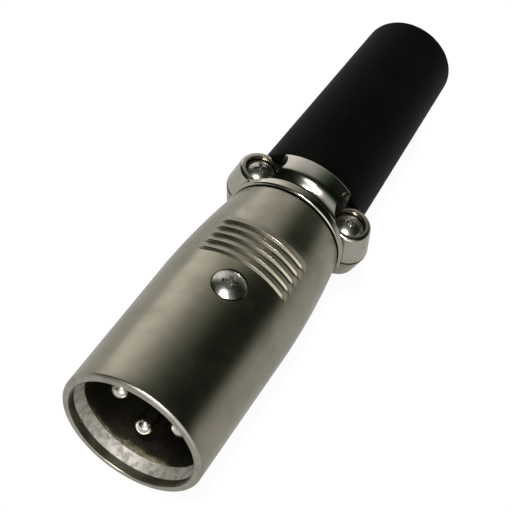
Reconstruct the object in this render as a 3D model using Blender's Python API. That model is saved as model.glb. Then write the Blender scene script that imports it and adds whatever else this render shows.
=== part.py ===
"""Three-pin cable plug: cast shell, pin insert, two-screw cable clamp and rubber boot.

The plug lies on its side as on a table, with its mouth towards -Y and its retaining screw up.
Every piece is modelled in the plug's own frame, which hangs on one empty that lays it down:
x runs to the right seen from the mouth, y runs up towards the retaining screw, and z runs out
of the mouth. A depth behind the mouth plane is counted down -z. Lengths are in metres.
"""
import math

import bmesh
import bpy
from mathutils import Matrix, Vector

MM = 0.001

# Clearances between separate pieces
SEAT_GAP = 0.3 * MM
THREAD_GAP = 0.3 * MM
NECK_GAP = 0.7 * MM
COLLAR_GAP = 0.6 * MM

# Shell: outside
SHELL_RADIUS = 9.5 * MM
SHELL_STRAIGHT = 20.45 * MM
SHELL_ARC_RADIUS = 104.5 * MM
SHELL_OVERHANG = 1.8 * MM
RIM_ROUND = 0.5 * MM
SHELL_FACETS = 48

# Shell: inside
SHELL_WALL = 1.4 * MM
MOUTH_STEP = 0.4 * MM
MOUTH_DEPTH = 1.2 * MM
MOUTH_CHAMFER = 1.65 * MM
SHOULDER_STEP = 1.1 * MM
LATCH_WIDTH = 4.4 * MM
LATCH_LENGTH = 2.6 * MM
LATCH_FRONT = 4.2 * MM
LATCH_CUT = 0.7 * MM

# Shell: thumb grip of five raised steps
GRIP_SETBACK = 3.7 * MM
GRIP_PITCH = 1.39 * MM
GRIP_STEPS = 5
GRIP_CREST = 0.3 * MM
GRIP_SINK = 0.04 * MM
GRIP_WALL_RUN = 0.12 * MM
GRIP_BED = 0.5 * MM
GRIP_FACETS = 11

# Cable clamp: the saddle over the shell's own lower half
CLAMP_LENGTH = 6.35 * MM
LOWER_CLAMP_STEP = 0.16 * MM
LIP_PROUD = 0.31 * MM
LIP_WIDTH = 0.9 * MM
GROOVE_CUT = 0.9 * MM
GROOVE_FALL = 1.4 * MM
FLANGE_PROUD = 0.1 * MM
CLAMP_EDGE_ROUND = 0.3 * MM

# Cable clamp: ears and their screws
EAR_SETBACK = 4.2 * MM
EAR_INNER_WALL = 0.63 * MM
EAR_SPLIT_RADIUS = 3.3 * MM
EAR_SPLIT_OFFSET = 0.4 * MM
EAR_TOP = 4.3 * MM
EAR_TOP_RADIUS = 2.8 * MM
EAR_TOP_ROUND = 0.4 * MM
EAR_FOOT = 4.0 * MM
EAR_FOOT_RADIUS = 2.6 * MM
EAR_FOOT_OFFSET = 0.17 * MM
EAR_FOOT_ROUND = 0.8 * MM
EAR_FLOOR = 0.7 * MM
EAR_RING_GAP = 0.05 * MM
WEB_RADIUS = 1.7 * MM
WEB_ROUND = 0.9 * MM
WEB_TOP = 7.0 * MM
WEB_INSET = 2.53 * MM
WEB_REAR_GAP = 0.05 * MM
CLAMP_SCREW_RADIUS = 1.1 * MM
CLAMP_HEAD_RADIUS = 1.85 * MM
CLAMP_HEAD_HEIGHT = 1.15 * MM
CLAMP_HEAD_SINK = 1.4 * MM

# Insert retaining screw and its nut
RETAINER_SETBACK = 3.4 * MM
RETAINER_RADIUS = 1.1 * MM
RETAINER_HEAD_RADIUS = 2.05 * MM
RETAINER_HEAD_HEIGHT = 1.05 * MM
RETAINER_LAND = 0.65 * MM
NUT_WIDTH = 4.5 * MM
NUT_THICKNESS = 1.4 * MM
NUT_ROOF = 0.525 * MM

# Screw heads and points
CROSS_SLOT = 0.55 * MM
CROSS_SHARE = 0.6
CROSS_DEPTH = 0.6 * MM
SCREW_POINT = 0.3 * MM
HEAD_RIM_SHARE = 0.35

# Insert and its pins
INSERT_FRONT = 15.5 * MM
INSERT_LENGTH = 10.8 * MM
INSERT_EDGE = 0.4 * MM
PIN_RADIUS = 1.2 * MM
PIN_EDGE = 3.6 * MM
PIN_TIP = 3.5 * MM
PIN_COLLAR_RADIUS = 1.75 * MM
PIN_COLLAR_LENGTH = 0.8 * MM
SOLDER_CUP_RADIUS = 1.3 * MM
SOLDER_CUP_BORE = 0.85 * MM
SOLDER_CUP_LENGTH = 4.4 * MM
SOLDER_CUP_HOLLOW = 3.2 * MM
SOLDER_CUP_SCOOP = 2.0 * MM
WIRING_ROOM = 2.0 * MM

# Ground tab: a strip laid in a groove along the top of the insert
TAB_WIDTH = 4.2 * MM
TAB_THICKNESS = 0.35 * MM
TAB_LEAD = 2.35 * MM
TAB_SINK = 0.58 * MM
TAB_REAR_SINK = 0.9 * MM
TAB_BEND_LEAD = 1.5 * MM
TAB_BEND_LENGTH = 0.8 * MM
TAB_TAIL = 4.2 * MM
TAB_EYELET_LEAD = 1.5 * MM
TAB_EYELET_RADIUS = 0.75 * MM

# Rubber boot
BOOT_BORE = 3.4 * MM
BOOT_NECK_WALL = 0.8 * MM
BOOT_COLLAR_LENGTH = 4.7 * MM
BOOT_FRONT_RADIUS = 7.87 * MM
BOOT_END_RADIUS = 6.79 * MM
BOOT_TAIL = 35.65 * MM
BOOT_END_ROUND = 1.2 * MM
BOOT_FRONT_ROUND = 0.3 * MM
BOOT_SHIFT = 0.3 * MM
BOOT_LEAN = math.radians(0.75)

# Radii that follow, from the shell inwards
BORE_RADIUS = SHELL_RADIUS - SHELL_WALL
MOUTH_RADIUS = BORE_RADIUS + MOUTH_STEP
CHAMBER_RADIUS = BORE_RADIUS - SHOULDER_STEP
INSERT_RADIUS = BORE_RADIUS - SEAT_GAP
PIN_CIRCLE = INSERT_RADIUS - PIN_EDGE
BOOT_NECK_RADIUS = BOOT_BORE + BOOT_NECK_WALL
THROAT_RADIUS = BOOT_NECK_RADIUS + NECK_GAP
BOOT_COLLAR_RADIUS = CHAMBER_RADIUS - COLLAR_GAP

# Depths that follow, from the mouth backwards
INSERT_REAR = INSERT_FRONT + INSERT_LENGTH
SHOULDER = INSERT_REAR + SEAT_GAP
RETAINER_DEPTH = INSERT_FRONT + RETAINER_SETBACK
GRIP_FRONT = RETAINER_DEPTH + GRIP_SETBACK
SOLDER_CUP_START = SHOULDER + PIN_COLLAR_LENGTH
SOLDER_CUP_END = SOLDER_CUP_START + SOLDER_CUP_LENGTH
BOOT_COLLAR_FRONT = SOLDER_CUP_END + WIRING_ROOM
BOOT_COLLAR_REAR = BOOT_COLLAR_FRONT + BOOT_COLLAR_LENGTH
CHAMBER_REAR = BOOT_COLLAR_REAR + SEAT_GAP
SHELL_REAR = CHAMBER_REAR - SHELL_OVERHANG
SADDLE_FRONT = SHELL_REAR + SEAT_GAP
CLAMP_REAR = SADDLE_FRONT + CLAMP_LENGTH
EAR_DEPTH = SADDLE_FRONT + EAR_SETBACK
BOOT_FRONT = CLAMP_REAR + SEAT_GAP
BOOT_END = BOOT_FRONT + BOOT_TAIL

# Heights that follow, from the shell's top down
RETAINER_FLOOR = BORE_RADIUS + RETAINER_LAND
TAB_HEIGHT = INSERT_RADIUS - TAB_SINK
TAB_REAR_HEIGHT = CHAMBER_RADIUS - TAB_REAR_SINK
TAB_CLEARANCE = TAB_THICKNESS / 2 + SEAT_GAP
NUT_HEIGHT = TAB_REAR_HEIGHT - TAB_CLEARANCE - NUT_ROOF - SEAT_GAP - NUT_THICKNESS
CLAMP_HEAD_FLOOR = EAR_TOP - CLAMP_HEAD_SINK
CLAMP_SCREW_TIP = EAR_FOOT - EAR_FLOOR - SEAT_GAP

# How far the clamp's screws and ears stand out to each side
CLAMP_SCREW_SPREAD = THROAT_RADIUS + EAR_INNER_WALL + CLAMP_SCREW_RADIUS + THREAD_GAP
EAR_SPLIT_SPREAD = CLAMP_SCREW_SPREAD + EAR_SPLIT_OFFSET
EAR_FOOT_SPREAD = CLAMP_SCREW_SPREAD + EAR_FOOT_OFFSET

WEB_SPREAD = CLAMP_SCREW_SPREAD - WEB_INSET
WEB_DEPTH = CLAMP_REAR - WEB_REAR_GAP - WEB_RADIUS

SPLIT = SEAT_GAP / 2
OUTSIDE = 2 * MM

# How finely the round stretches are stepped
ARC_STEPS = 5
SMALL_ARC_STEPS = 2
LONG_ARC_STEPS = 10
COLUMN_FACETS = 32
HOLE_FACETS = 24
SMALL_HOLE_FACETS = 16
PIN_FACETS = 20


def finish(name, colour, metallic, roughness):
    """Material with one colour, given as linear red, green and blue."""
    material = bpy.data.materials.new(name)
    material.use_nodes = True
    shader = material.node_tree.nodes["Principled BSDF"]
    shader.inputs["Base Color"].default_value = (*colour, 1.0)
    shader.inputs["Metallic"].default_value = metallic
    shader.inputs["Roughness"].default_value = roughness
    material.diffuse_color = (*colour, 1.0)
    return material


def piece_from(bm, name, material=None, smooth_angle=35):
    """Object from a closed bmesh, its faces turned outwards."""
    bmesh.ops.remove_doubles(bm, verts=bm.verts, dist=0.001 * MM)
    bmesh.ops.recalc_face_normals(bm, faces=bm.faces)
    mesh = bpy.data.meshes.new(name)
    bm.to_mesh(mesh)
    bm.free()
    mesh.shade_smooth()
    mesh.set_sharp_from_angle(angle=math.radians(smooth_angle))
    if material:
        mesh.materials.append(material)
    piece = bpy.data.objects.new(name, mesh)
    bpy.context.collection.objects.link(piece)
    return piece


def arc(centre_radius, centre_depth, size, start, end, steps=ARC_STEPS):
    """Points (radius, depth) round a centre, from start to end in degrees."""
    angles = [math.radians(start + (end - start) * i / steps) for i in range(steps + 1)]
    return [(centre_radius + size * math.cos(a), centre_depth + size * math.sin(a)) for a in angles]


def turned(name, outline, material=None, facets=SHELL_FACETS, start=None, sweep=math.tau, datum=0.0):
    """Solid turned about z from an outline of (radius, depth) points.

    A full turn starts half a facet round, so that a flat facet faces straight down. A part
    turn keeps the outline's own face as a cap at each end. Depths are counted from datum.
    """
    whole = sweep == math.tau
    if start is None:
        start = math.pi / facets
    bm = bmesh.new()
    to_start = Matrix.Rotation(start, 3, "Z")
    points = [bm.verts.new(to_start @ Vector((radius, 0, datum - depth))) for radius, depth in outline]
    if whole:
        open_on_axis = outline[0][0] == 0 and outline[-1][0] == 0
        pairs = list(zip(points, points[1:]))
        if not open_on_axis:
            pairs.append((points[-1], points[0]))
        profile = points + [bm.edges.new(pair) for pair in pairs]
    else:
        profile = [bm.faces.new(points)]
        profile += list(profile[0].edges) + points
    bmesh.ops.spin(bm, geom=profile, axis=(0, 0, 1), angle=sweep, steps=facets)
    return piece_from(bm, name, material)


def prism(name, outline, low, high, material=None):
    """Outline of (x, y) points carried straight from low to high along z."""
    bm = bmesh.new()
    face = bm.faces.new([bm.verts.new((x, y, low)) for x, y in outline])
    top = bmesh.ops.extrude_face_region(bm, geom=[face])["geom"]
    lifted = [part for part in top if isinstance(part, bmesh.types.BMVert)]
    bmesh.ops.translate(bm, verts=lifted, vec=(0, 0, high - low))
    return piece_from(bm, name, material)


def block(name, x_range, y_range, depth_range):
    """Box in the plug's frame, between two depths behind the mouth."""
    corners = [(x_range[i], y_range[j]) for i, j in ((0, 0), (1, 0), (1, 1), (0, 1))]
    return prism(name, corners, -depth_range[1], -depth_range[0])


def column(name, levels, facets=COLUMN_FACETS):
    """Upright column lofted through circles given as (height, spread, depth, radius)."""
    bm = bmesh.new()
    rings = []
    for height, spread, depth, radius in levels:
        angles = [math.tau * i / facets for i in range(facets)]
        rings.append([bm.verts.new((spread + radius * math.cos(a), height, radius * math.sin(a) - depth))
                      for a in angles])
    for ring, above in zip(rings, rings[1:]):
        for i in range(facets):
            j = (i + 1) % facets
            bm.faces.new((ring[i], ring[j], above[j], above[i]))
    bm.faces.new(rings[0])
    bm.faces.new(rings[-1])
    return piece_from(bm, name)


def shaft(name, x, low, high, depth, radius, facets=HOLE_FACETS):
    """Upright round cutter at x and depth, from low to high."""
    return column(name, [(low, x, depth, radius), (high, x, depth, radius)], facets)


def shape_with(piece, operation, tools):
    """One Boolean on a piece with all the tools at once; they stay hidden guides."""
    guides = bpy.data.collections.new("%s_%s_guides" % (piece.name, operation.lower()))
    bpy.context.scene.collection.children.link(guides)
    for tool in tools:
        tool.display_type = "WIRE"
        tool.hide_render = True
        bpy.context.collection.objects.unlink(tool)
        guides.objects.link(tool)
    modifier = piece.modifiers.new(guides.name, "BOOLEAN")
    modifier.operation = operation
    modifier.operand_type = "COLLECTION"
    modifier.collection = guides
    modifier.solver = "EXACT"


def cut(piece, *tools):
    """Takes tools away from a piece."""
    shape_with(piece, "DIFFERENCE", tools)


def add(piece, *tools):
    """Joins tools to a piece."""
    shape_with(piece, "UNION", tools)


def shell_radius_at(depth):
    """Outside of the shell: straight, then one long arc that narrows to the clamp."""
    past = max(0.0, depth - SHELL_STRAIGHT)
    return SHELL_RADIUS - SHELL_ARC_RADIUS + math.sqrt(SHELL_ARC_RADIUS ** 2 - past ** 2)


def side_name(side):
    """Name of a side seen from the mouth, -1 or 1."""
    return "left" if side < 0 else "right"


def ear_levels(side, height_end, end_spread, end_radius, end_round, growth=0.0):
    """Circles of one ear from the plug's mid plane to its rounded end, above or below it."""
    up = 1 if height_end > 0 else -1
    reach = abs(height_end)

    def level(height, inset):
        """One circle, which leans from the joint's place and size to the end's."""
        share = max(0.0, height - SPLIT) / (reach - SPLIT)
        spread = EAR_SPLIT_SPREAD + (end_spread - EAR_SPLIT_SPREAD) * share
        radius = EAR_SPLIT_RADIUS + (end_radius - EAR_SPLIT_RADIUS) * share
        return (up * height, side * spread, EAR_DEPTH, radius - inset + growth)

    levels = [level(0.0, 0.0), level(SPLIT, 0.0)]
    for step in range(ARC_STEPS + 1):
        angle = math.pi / 2 * step / ARC_STEPS
        levels.append(level(reach - end_round * (1 - math.sin(angle)), end_round * (1 - math.cos(angle))))
    return levels


def upper_ear(name, side):
    """Ear of the saddle, from the joint of the two clamp halves up."""
    return column(name, ear_levels(side, EAR_TOP, CLAMP_SCREW_SPREAD, EAR_TOP_RADIUS, EAR_TOP_ROUND))


def ear_web(name, side):
    """Round-topped web that joins the saddle's flange to one ear."""
    levels = [(0, side * WEB_SPREAD, WEB_DEPTH, WEB_RADIUS)]
    for step in range(ARC_STEPS + 1):
        angle = math.pi / 2 * step / ARC_STEPS
        levels.append((WEB_TOP - WEB_ROUND * (1 - math.sin(angle)), side * WEB_SPREAD, WEB_DEPTH,
                       WEB_RADIUS - WEB_ROUND * (1 - math.cos(angle))))
    return column(name, levels)


def lower_ear(name, side):
    """Ear of the shell, from the joint of the two clamp halves down."""
    return column(name, ear_levels(side, -EAR_FOOT, EAR_FOOT_SPREAD, EAR_FOOT_RADIUS, EAR_FOOT_ROUND))


def cable_passage(name):
    """What the shell and the clamp leave open behind the insert: the chamber and the throat."""
    front = SHOULDER - OUTSIDE
    rear = CLAMP_REAR + EAR_SPLIT_RADIUS
    outline = [(0, front), (CHAMBER_RADIUS, front), (CHAMBER_RADIUS, CHAMBER_REAR),
               (THROAT_RADIUS, CHAMBER_REAR), (THROAT_RADIUS, rear), (0, rear)]
    return turned(name, outline)


def clamp_radius():
    """Outside of the shell where the clamp begins, which the clamp's own radii follow."""
    return shell_radius_at(SHELL_REAR)


def grip_steps():
    """Ring segment over the shell's top whose steps face the mouth and slope back to the shell.

    Its facets lie over the shell's own, so that each slope runs into the shell along one line.
    """
    sweep = GRIP_FACETS * math.tau / SHELL_FACETS
    rear = GRIP_FRONT + GRIP_STEPS * GRIP_PITCH
    bed = shell_radius_at(rear) - GRIP_BED
    outline = [(bed, GRIP_FRONT)]
    for step in range(GRIP_STEPS):
        front = GRIP_FRONT + step * GRIP_PITCH
        crest = front + GRIP_WALL_RUN
        outline.append((shell_radius_at(front) - GRIP_SINK, front))
        outline.append((shell_radius_at(crest) + GRIP_CREST, crest))
    outline += [(shell_radius_at(rear) - GRIP_SINK, rear), (bed, rear)]
    return turned("grip_steps", outline, facets=GRIP_FACETS, start=(math.pi - sweep) / 2, sweep=sweep)


def build_shell(material):
    """Cast shell with the lower half of the cable clamp and its two ears in one piece."""
    outline = [(0, 0)]
    outline += arc(SHELL_RADIUS - RIM_ROUND, RIM_ROUND, RIM_ROUND, -90, 0)
    for step in range(LONG_ARC_STEPS + 1):
        depth = SHELL_STRAIGHT + (SHELL_REAR - SHELL_STRAIGHT) * step / LONG_ARC_STEPS
        outline.append((shell_radius_at(depth), depth))
    outline += arc(clamp_radius() + LOWER_CLAMP_STEP - CLAMP_EDGE_ROUND, CLAMP_REAR - CLAMP_EDGE_ROUND,
                   CLAMP_EDGE_ROUND, 0, 90)
    outline.append((0, CLAMP_REAR))
    shell = turned("shell", outline, material)
    add(shell, lower_ear("lower_ear_left", -1), lower_ear("lower_ear_right", 1), grip_steps())

    reach = SHELL_RADIUS + OUTSIDE
    upper_half = block("upper_half_cutter", (-reach, reach), (-SPLIT, reach),
                       (SHELL_REAR, CLAMP_REAR + EAR_SPLIT_RADIUS))
    mouth_end = MOUTH_DEPTH + MOUTH_CHAMFER
    bore_outline = [(0, -OUTSIDE), (MOUTH_RADIUS, -OUTSIDE), (MOUTH_RADIUS, MOUTH_DEPTH),
                    (BORE_RADIUS, mouth_end), (BORE_RADIUS, SHOULDER), (0, SHOULDER)]
    bore = turned("bore_cutter", bore_outline)
    latch = block("latch_cutter", (-LATCH_WIDTH / 2, LATCH_WIDTH / 2),
                  (BORE_RADIUS - OUTSIDE, BORE_RADIUS + LATCH_CUT),
                  (LATCH_FRONT, LATCH_FRONT + LATCH_LENGTH))
    screw_hole = shaft("shell_screw_hole", 0, BORE_RADIUS - OUTSIDE, reach, RETAINER_DEPTH,
                       RETAINER_RADIUS + THREAD_GAP)
    head_seat = shaft("shell_head_seat", 0, RETAINER_FLOOR, reach, RETAINER_DEPTH,
                      RETAINER_HEAD_RADIUS + SEAT_GAP)
    tapped_holes = [shaft("tapped_hole_" + side_name(side), side * CLAMP_SCREW_SPREAD,
                          -CLAMP_SCREW_TIP - SEAT_GAP, OUTSIDE, EAR_DEPTH, CLAMP_SCREW_RADIUS + THREAD_GAP)
                    for side in (-1, 1)]
    cut(shell, upper_half, bore, cable_passage("shell_passage_cutter"), latch, screw_hole, head_seat,
        *tapped_holes)
    return shell


def build_saddle(material):
    """Upper half of the cable clamp: front lip, hollow groove, rear flange and two webbed ears."""
    lip = clamp_radius() + LIP_PROUD
    groove = lip - GROOVE_CUT
    flange = lip + FLANGE_PROUD
    lip_end = SADDLE_FRONT + LIP_WIDTH
    groove_depth = lip_end + GROOVE_FALL
    flange_start = CLAMP_REAR - CLAMP_EDGE_ROUND
    outline = [(0, SADDLE_FRONT)]
    outline += arc(lip - CLAMP_EDGE_ROUND, SADDLE_FRONT + CLAMP_EDGE_ROUND, CLAMP_EDGE_ROUND, -90, 0)
    for step in range(ARC_STEPS + 1):
        fall = 1 - step / ARC_STEPS
        outline.append((groove + (lip - groove) * fall ** 2, groove_depth - GROOVE_FALL * fall))
    for step in range(1, ARC_STEPS):
        rise = step / ARC_STEPS
        outline.append((groove + (flange - groove) * rise ** 2,
                        groove_depth + (flange_start - groove_depth) * rise))
    outline += arc(flange - CLAMP_EDGE_ROUND, flange_start, CLAMP_EDGE_ROUND, 0, 90)
    outline.append((0, CLAMP_REAR))
    saddle = turned("clamp_saddle", outline, material)
    add(saddle, *[form("%s_%s" % (kind, side_name(side)), side)
                  for kind, form in (("upper_ear", upper_ear), ("ear_web", ear_web)) for side in (-1, 1)])

    reach = SHELL_RADIUS + OUTSIDE
    lower_half = block("lower_half_cutter", (-reach, reach), (-reach, SPLIT),
                       (SHELL_REAR, CLAMP_REAR + EAR_SPLIT_RADIUS))
    cutters = [lower_half, cable_passage("saddle_passage_cutter")]
    for side in (-1, 1):
        x = side * CLAMP_SCREW_SPREAD
        cutters += [shaft("ring_room_" + side_name(side), x, EAR_TOP + EAR_RING_GAP, reach, EAR_DEPTH,
                          EAR_TOP_RADIUS + EAR_RING_GAP, COLUMN_FACETS),
                    shaft("clearance_hole_" + side_name(side), x, -OUTSIDE, reach, EAR_DEPTH,
                          CLAMP_SCREW_RADIUS + THREAD_GAP),
                    shaft("head_recess_" + side_name(side), x, CLAMP_HEAD_FLOOR, reach, EAR_DEPTH,
                          CLAMP_HEAD_RADIUS + SEAT_GAP)]
    cut(saddle, *cutters)
    return saddle


def build_screw(name, head_radius, head_height, shank_radius, length, material):
    """Dome-headed screw with a cross recess, hanging down from its crest at z = 0."""
    rim_height = HEAD_RIM_SHARE * head_height
    dome_height = head_height - rim_height
    dome_radius = (head_radius ** 2 + dome_height ** 2) / (2 * dome_height)
    half_angle = math.degrees(math.asin(head_radius / dome_radius))
    outline = arc(0, dome_radius, dome_radius, -90, -90 + half_angle)
    outline[0] = (0, 0)
    outline += [(head_radius, head_height), (shank_radius, head_height), (shank_radius, length - SCREW_POINT),
                (shank_radius - SCREW_POINT, length), (0, length)]
    screw = turned(name, outline, material, COLUMN_FACETS)
    arm = head_radius * CROSS_SHARE
    slot = CROSS_SLOT / 2
    quarter = [(arm, -slot), (arm, slot), (slot, slot)]
    turns = [Matrix.Rotation(math.pi / 2 * turn, 2) for turn in range(4)]
    cross = [tuple(turn @ Vector(point)) for turn in turns for point in quarter]
    recess = prism(name + "_cross", cross, -CROSS_DEPTH, OUTSIDE)
    recess.parent = screw
    cut(screw, recess)
    return screw


def stand_up(screw, x, crest, depth):
    """Points a screw down the plug's y axis with its crest at the given height."""
    screw.location = (x, crest, -depth)
    screw.rotation_euler = (-math.pi / 2, 0, 0)


def build_insert(material):
    """Moulded insert that carries the pins and traps the nut of the retaining screw."""
    rear = INSERT_REAR
    outline = [(0, INSERT_FRONT), (INSERT_RADIUS - INSERT_EDGE, INSERT_FRONT),
               (INSERT_RADIUS, INSERT_FRONT + INSERT_EDGE), (INSERT_RADIUS, rear), (0, rear)]
    insert = turned("insert", outline, material)
    hole_radius = PIN_RADIUS + SEAT_GAP
    hole_outline = [(0, INSERT_FRONT - OUTSIDE), (hole_radius, INSERT_FRONT - OUTSIDE),
                    (hole_radius, rear + OUTSIDE), (0, rear + OUTSIDE)]
    pin_holes = []
    for number, (x, y) in enumerate(pin_places(), 1):
        hole = turned("pin_hole_%d" % number, hole_outline, facets=HOLE_FACETS)
        hole.location = (x, y, 0)
        pin_holes.append(hole)

    pocket_half = NUT_WIDTH / 2 + SEAT_GAP
    pocket_top = NUT_HEIGHT + NUT_THICKNESS + SEAT_GAP
    tab_half = TAB_WIDTH / 2 + SEAT_GAP
    groove_floor = TAB_HEIGHT - TAB_CLEARANCE
    notch_floor = TAB_REAR_HEIGHT - TAB_CLEARANCE
    groove_front = RETAINER_DEPTH - TAB_LEAD - SEAT_GAP
    notch_front = rear - TAB_BEND_LEAD - SEAT_GAP
    top = INSERT_RADIUS + OUTSIDE
    cut(insert, *pin_holes,
        block("nut_pocket", (-pocket_half, pocket_half), (NUT_HEIGHT - SEAT_GAP, pocket_top),
              (RETAINER_DEPTH - pocket_half, rear + OUTSIDE)),
        block("tab_groove", (-tab_half, tab_half), (groove_floor, top), (groove_front, rear + OUTSIDE)),
        block("tab_notch", (-tab_half, tab_half), (notch_floor, top), (notch_front, rear + OUTSIDE)),
        shaft("insert_screw_hole", 0, NUT_HEIGHT + NUT_THICKNESS, top, RETAINER_DEPTH,
              RETAINER_RADIUS + THREAD_GAP))
    return insert


def build_nut(material):
    """Square nut in the insert's pocket, under the retaining screw."""
    half = NUT_WIDTH / 2
    square = [(-half, -half), (half, -half), (half, half), (-half, half)]
    nut = prism("insert_nut", square, 0, NUT_THICKNESS, material)
    nut.location = (0, NUT_HEIGHT, -RETAINER_DEPTH)
    nut.rotation_euler = (-math.pi / 2, 0, 0)
    cut(nut, shaft("nut_thread", 0, NUT_HEIGHT - OUTSIDE, NUT_HEIGHT + NUT_THICKNESS + OUTSIDE,
                   RETAINER_DEPTH, RETAINER_RADIUS + THREAD_GAP))
    return nut


def pin_places():
    """The pins stand right, left and below the axis, seen from the mouth."""
    return [(PIN_CIRCLE, 0), (-PIN_CIRCLE, 0), (0, -PIN_CIRCLE)]


def build_pin(number, place, material):
    """Turned contact: round nose, shank, collar behind the insert and scooped solder cup."""
    end = SOLDER_CUP_END
    outline = arc(0, PIN_TIP + PIN_RADIUS, PIN_RADIUS, -90, 0)
    outline[0] = (0, PIN_TIP)
    outline += [(PIN_RADIUS, SHOULDER), (PIN_COLLAR_RADIUS, SHOULDER), (PIN_COLLAR_RADIUS, SOLDER_CUP_START),
                (SOLDER_CUP_RADIUS, SOLDER_CUP_START), (SOLDER_CUP_RADIUS, end), (SOLDER_CUP_BORE, end),
                (SOLDER_CUP_BORE, end - SOLDER_CUP_HOLLOW), (0, end - SOLDER_CUP_HOLLOW)]
    pin = turned("pin_%d" % number, outline, material, PIN_FACETS)
    pin.location = (*place, 0)
    scoop = block("cup_scoop_%d" % number, (-SOLDER_CUP_RADIUS - OUTSIDE, SOLDER_CUP_RADIUS + OUTSIDE),
                  (0, SOLDER_CUP_RADIUS + OUTSIDE), (end - SOLDER_CUP_SCOOP, end + OUTSIDE))
    scoop.parent = pin
    cut(pin, scoop)
    return pin


def build_ground_tab(material):
    """Strip under the retaining screw, stepped down behind the insert, with a solder eyelet."""
    half = TAB_THICKNESS / 2
    bend = INSERT_REAR - TAB_BEND_LEAD
    tail = INSERT_REAR + TAB_TAIL
    line = [(RETAINER_DEPTH - TAB_LEAD, TAB_HEIGHT), (bend, TAB_HEIGHT),
            (bend + TAB_BEND_LENGTH, TAB_REAR_HEIGHT), (tail, TAB_REAR_HEIGHT)]
    outline = [(-depth, height + half) for depth, height in line]
    outline += [(-depth, height - half) for depth, height in reversed(line)]
    tab = prism("ground_tab", outline, -TAB_WIDTH / 2, TAB_WIDTH / 2, material)
    tab.rotation_euler = (0, -math.pi / 2, 0)
    cut(tab,
        shaft("tab_screw_hole", 0, TAB_REAR_HEIGHT, TAB_HEIGHT + OUTSIDE, RETAINER_DEPTH,
              RETAINER_RADIUS + THREAD_GAP),
        shaft("tab_eyelet", 0, TAB_REAR_HEIGHT - OUTSIDE, TAB_HEIGHT + OUTSIDE, tail - TAB_EYELET_LEAD,
              TAB_EYELET_RADIUS, SMALL_HOLE_FACETS))
    return tab


def build_boot(material):
    """Flexible sleeve: collar in the shell, neck in the clamp and a long tapered tail."""
    outline = [(BOOT_BORE, BOOT_COLLAR_FRONT)]
    outline += arc(BOOT_COLLAR_RADIUS - BOOT_FRONT_ROUND, BOOT_COLLAR_FRONT + BOOT_FRONT_ROUND,
                   BOOT_FRONT_ROUND, -90, 0, SMALL_ARC_STEPS)
    outline += [(BOOT_COLLAR_RADIUS, BOOT_COLLAR_REAR), (BOOT_NECK_RADIUS, BOOT_COLLAR_REAR),
                (BOOT_NECK_RADIUS, BOOT_FRONT)]
    outline += arc(BOOT_FRONT_RADIUS - BOOT_FRONT_ROUND, BOOT_FRONT + BOOT_FRONT_ROUND,
                   BOOT_FRONT_ROUND, -90, 0, SMALL_ARC_STEPS)
    outline += arc(BOOT_END_RADIUS - BOOT_END_ROUND, BOOT_END - BOOT_END_ROUND, BOOT_END_ROUND, 0, 90)
    outline += [(BOOT_BORE + BOOT_FRONT_ROUND, BOOT_END), (BOOT_BORE, BOOT_END - BOOT_FRONT_ROUND)]
    boot = turned("flex_boot", outline, material, datum=EAR_DEPTH)
    boot.location = (-BOOT_SHIFT, 0, -EAR_DEPTH)
    boot.rotation_euler = (0, BOOT_LEAN, 0)
    reliefs = []
    for side in (-1, 1):
        up = ear_levels(side, EAR_TOP + SEAT_GAP, CLAMP_SCREW_SPREAD, EAR_TOP_RADIUS, EAR_TOP_ROUND,
                        SEAT_GAP)
        down = ear_levels(side, -EAR_FOOT - SEAT_GAP, EAR_FOOT_SPREAD, EAR_FOOT_RADIUS, EAR_FOOT_ROUND,
                          SEAT_GAP)
        reliefs.append(column("boot_relief_" + side_name(side), list(reversed(down)) + up[1:]))
    cut(boot, *reliefs)
    return boot


def build_plug():
    """Every piece in its place round the plug's axis, with its own finish."""
    nickel = finish("satin nickel", (0.42, 0.40, 0.34), 1.0, 0.32)
    bright_nickel = finish("bright nickel", (0.50, 0.48, 0.44), 1.0, 0.18)
    screw_steel = finish("nickel plated steel", (0.45, 0.44, 0.42), 1.0, 0.22)
    contact_silver = finish("silver plated brass", (0.70, 0.68, 0.62), 1.0, 0.20)
    brass = finish("brass", (0.60, 0.45, 0.18), 1.0, 0.30)
    plastic = finish("black thermoplastic", (0.012, 0.013, 0.012), 0.0, 0.45)
    rubber = finish("black rubber", (0.010, 0.012, 0.010), 0.0, 0.60)

    pieces = [build_shell(nickel), build_saddle(bright_nickel), build_insert(plastic), build_nut(brass),
              build_ground_tab(contact_silver), build_boot(rubber)]
    pieces += [build_pin(number, place, contact_silver) for number, place in enumerate(pin_places(), 1)]

    retainer_crest = RETAINER_FLOOR + SEAT_GAP + RETAINER_HEAD_HEIGHT
    retainer = build_screw("insert_screw", RETAINER_HEAD_RADIUS, RETAINER_HEAD_HEIGHT, RETAINER_RADIUS,
                           retainer_crest - NUT_HEIGHT, screw_steel)
    stand_up(retainer, 0, retainer_crest, RETAINER_DEPTH)
    pieces.append(retainer)
    clamp_crest = CLAMP_HEAD_FLOOR + SEAT_GAP + CLAMP_HEAD_HEIGHT
    for side in (-1, 1):
        screw = build_screw("clamp_screw_" + side_name(side), CLAMP_HEAD_RADIUS, CLAMP_HEAD_HEIGHT,
                            CLAMP_SCREW_RADIUS, clamp_crest + CLAMP_SCREW_TIP, screw_steel)
        stand_up(screw, side * CLAMP_SCREW_SPREAD, clamp_crest, EAR_DEPTH)
        pieces.append(screw)
    return pieces


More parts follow.
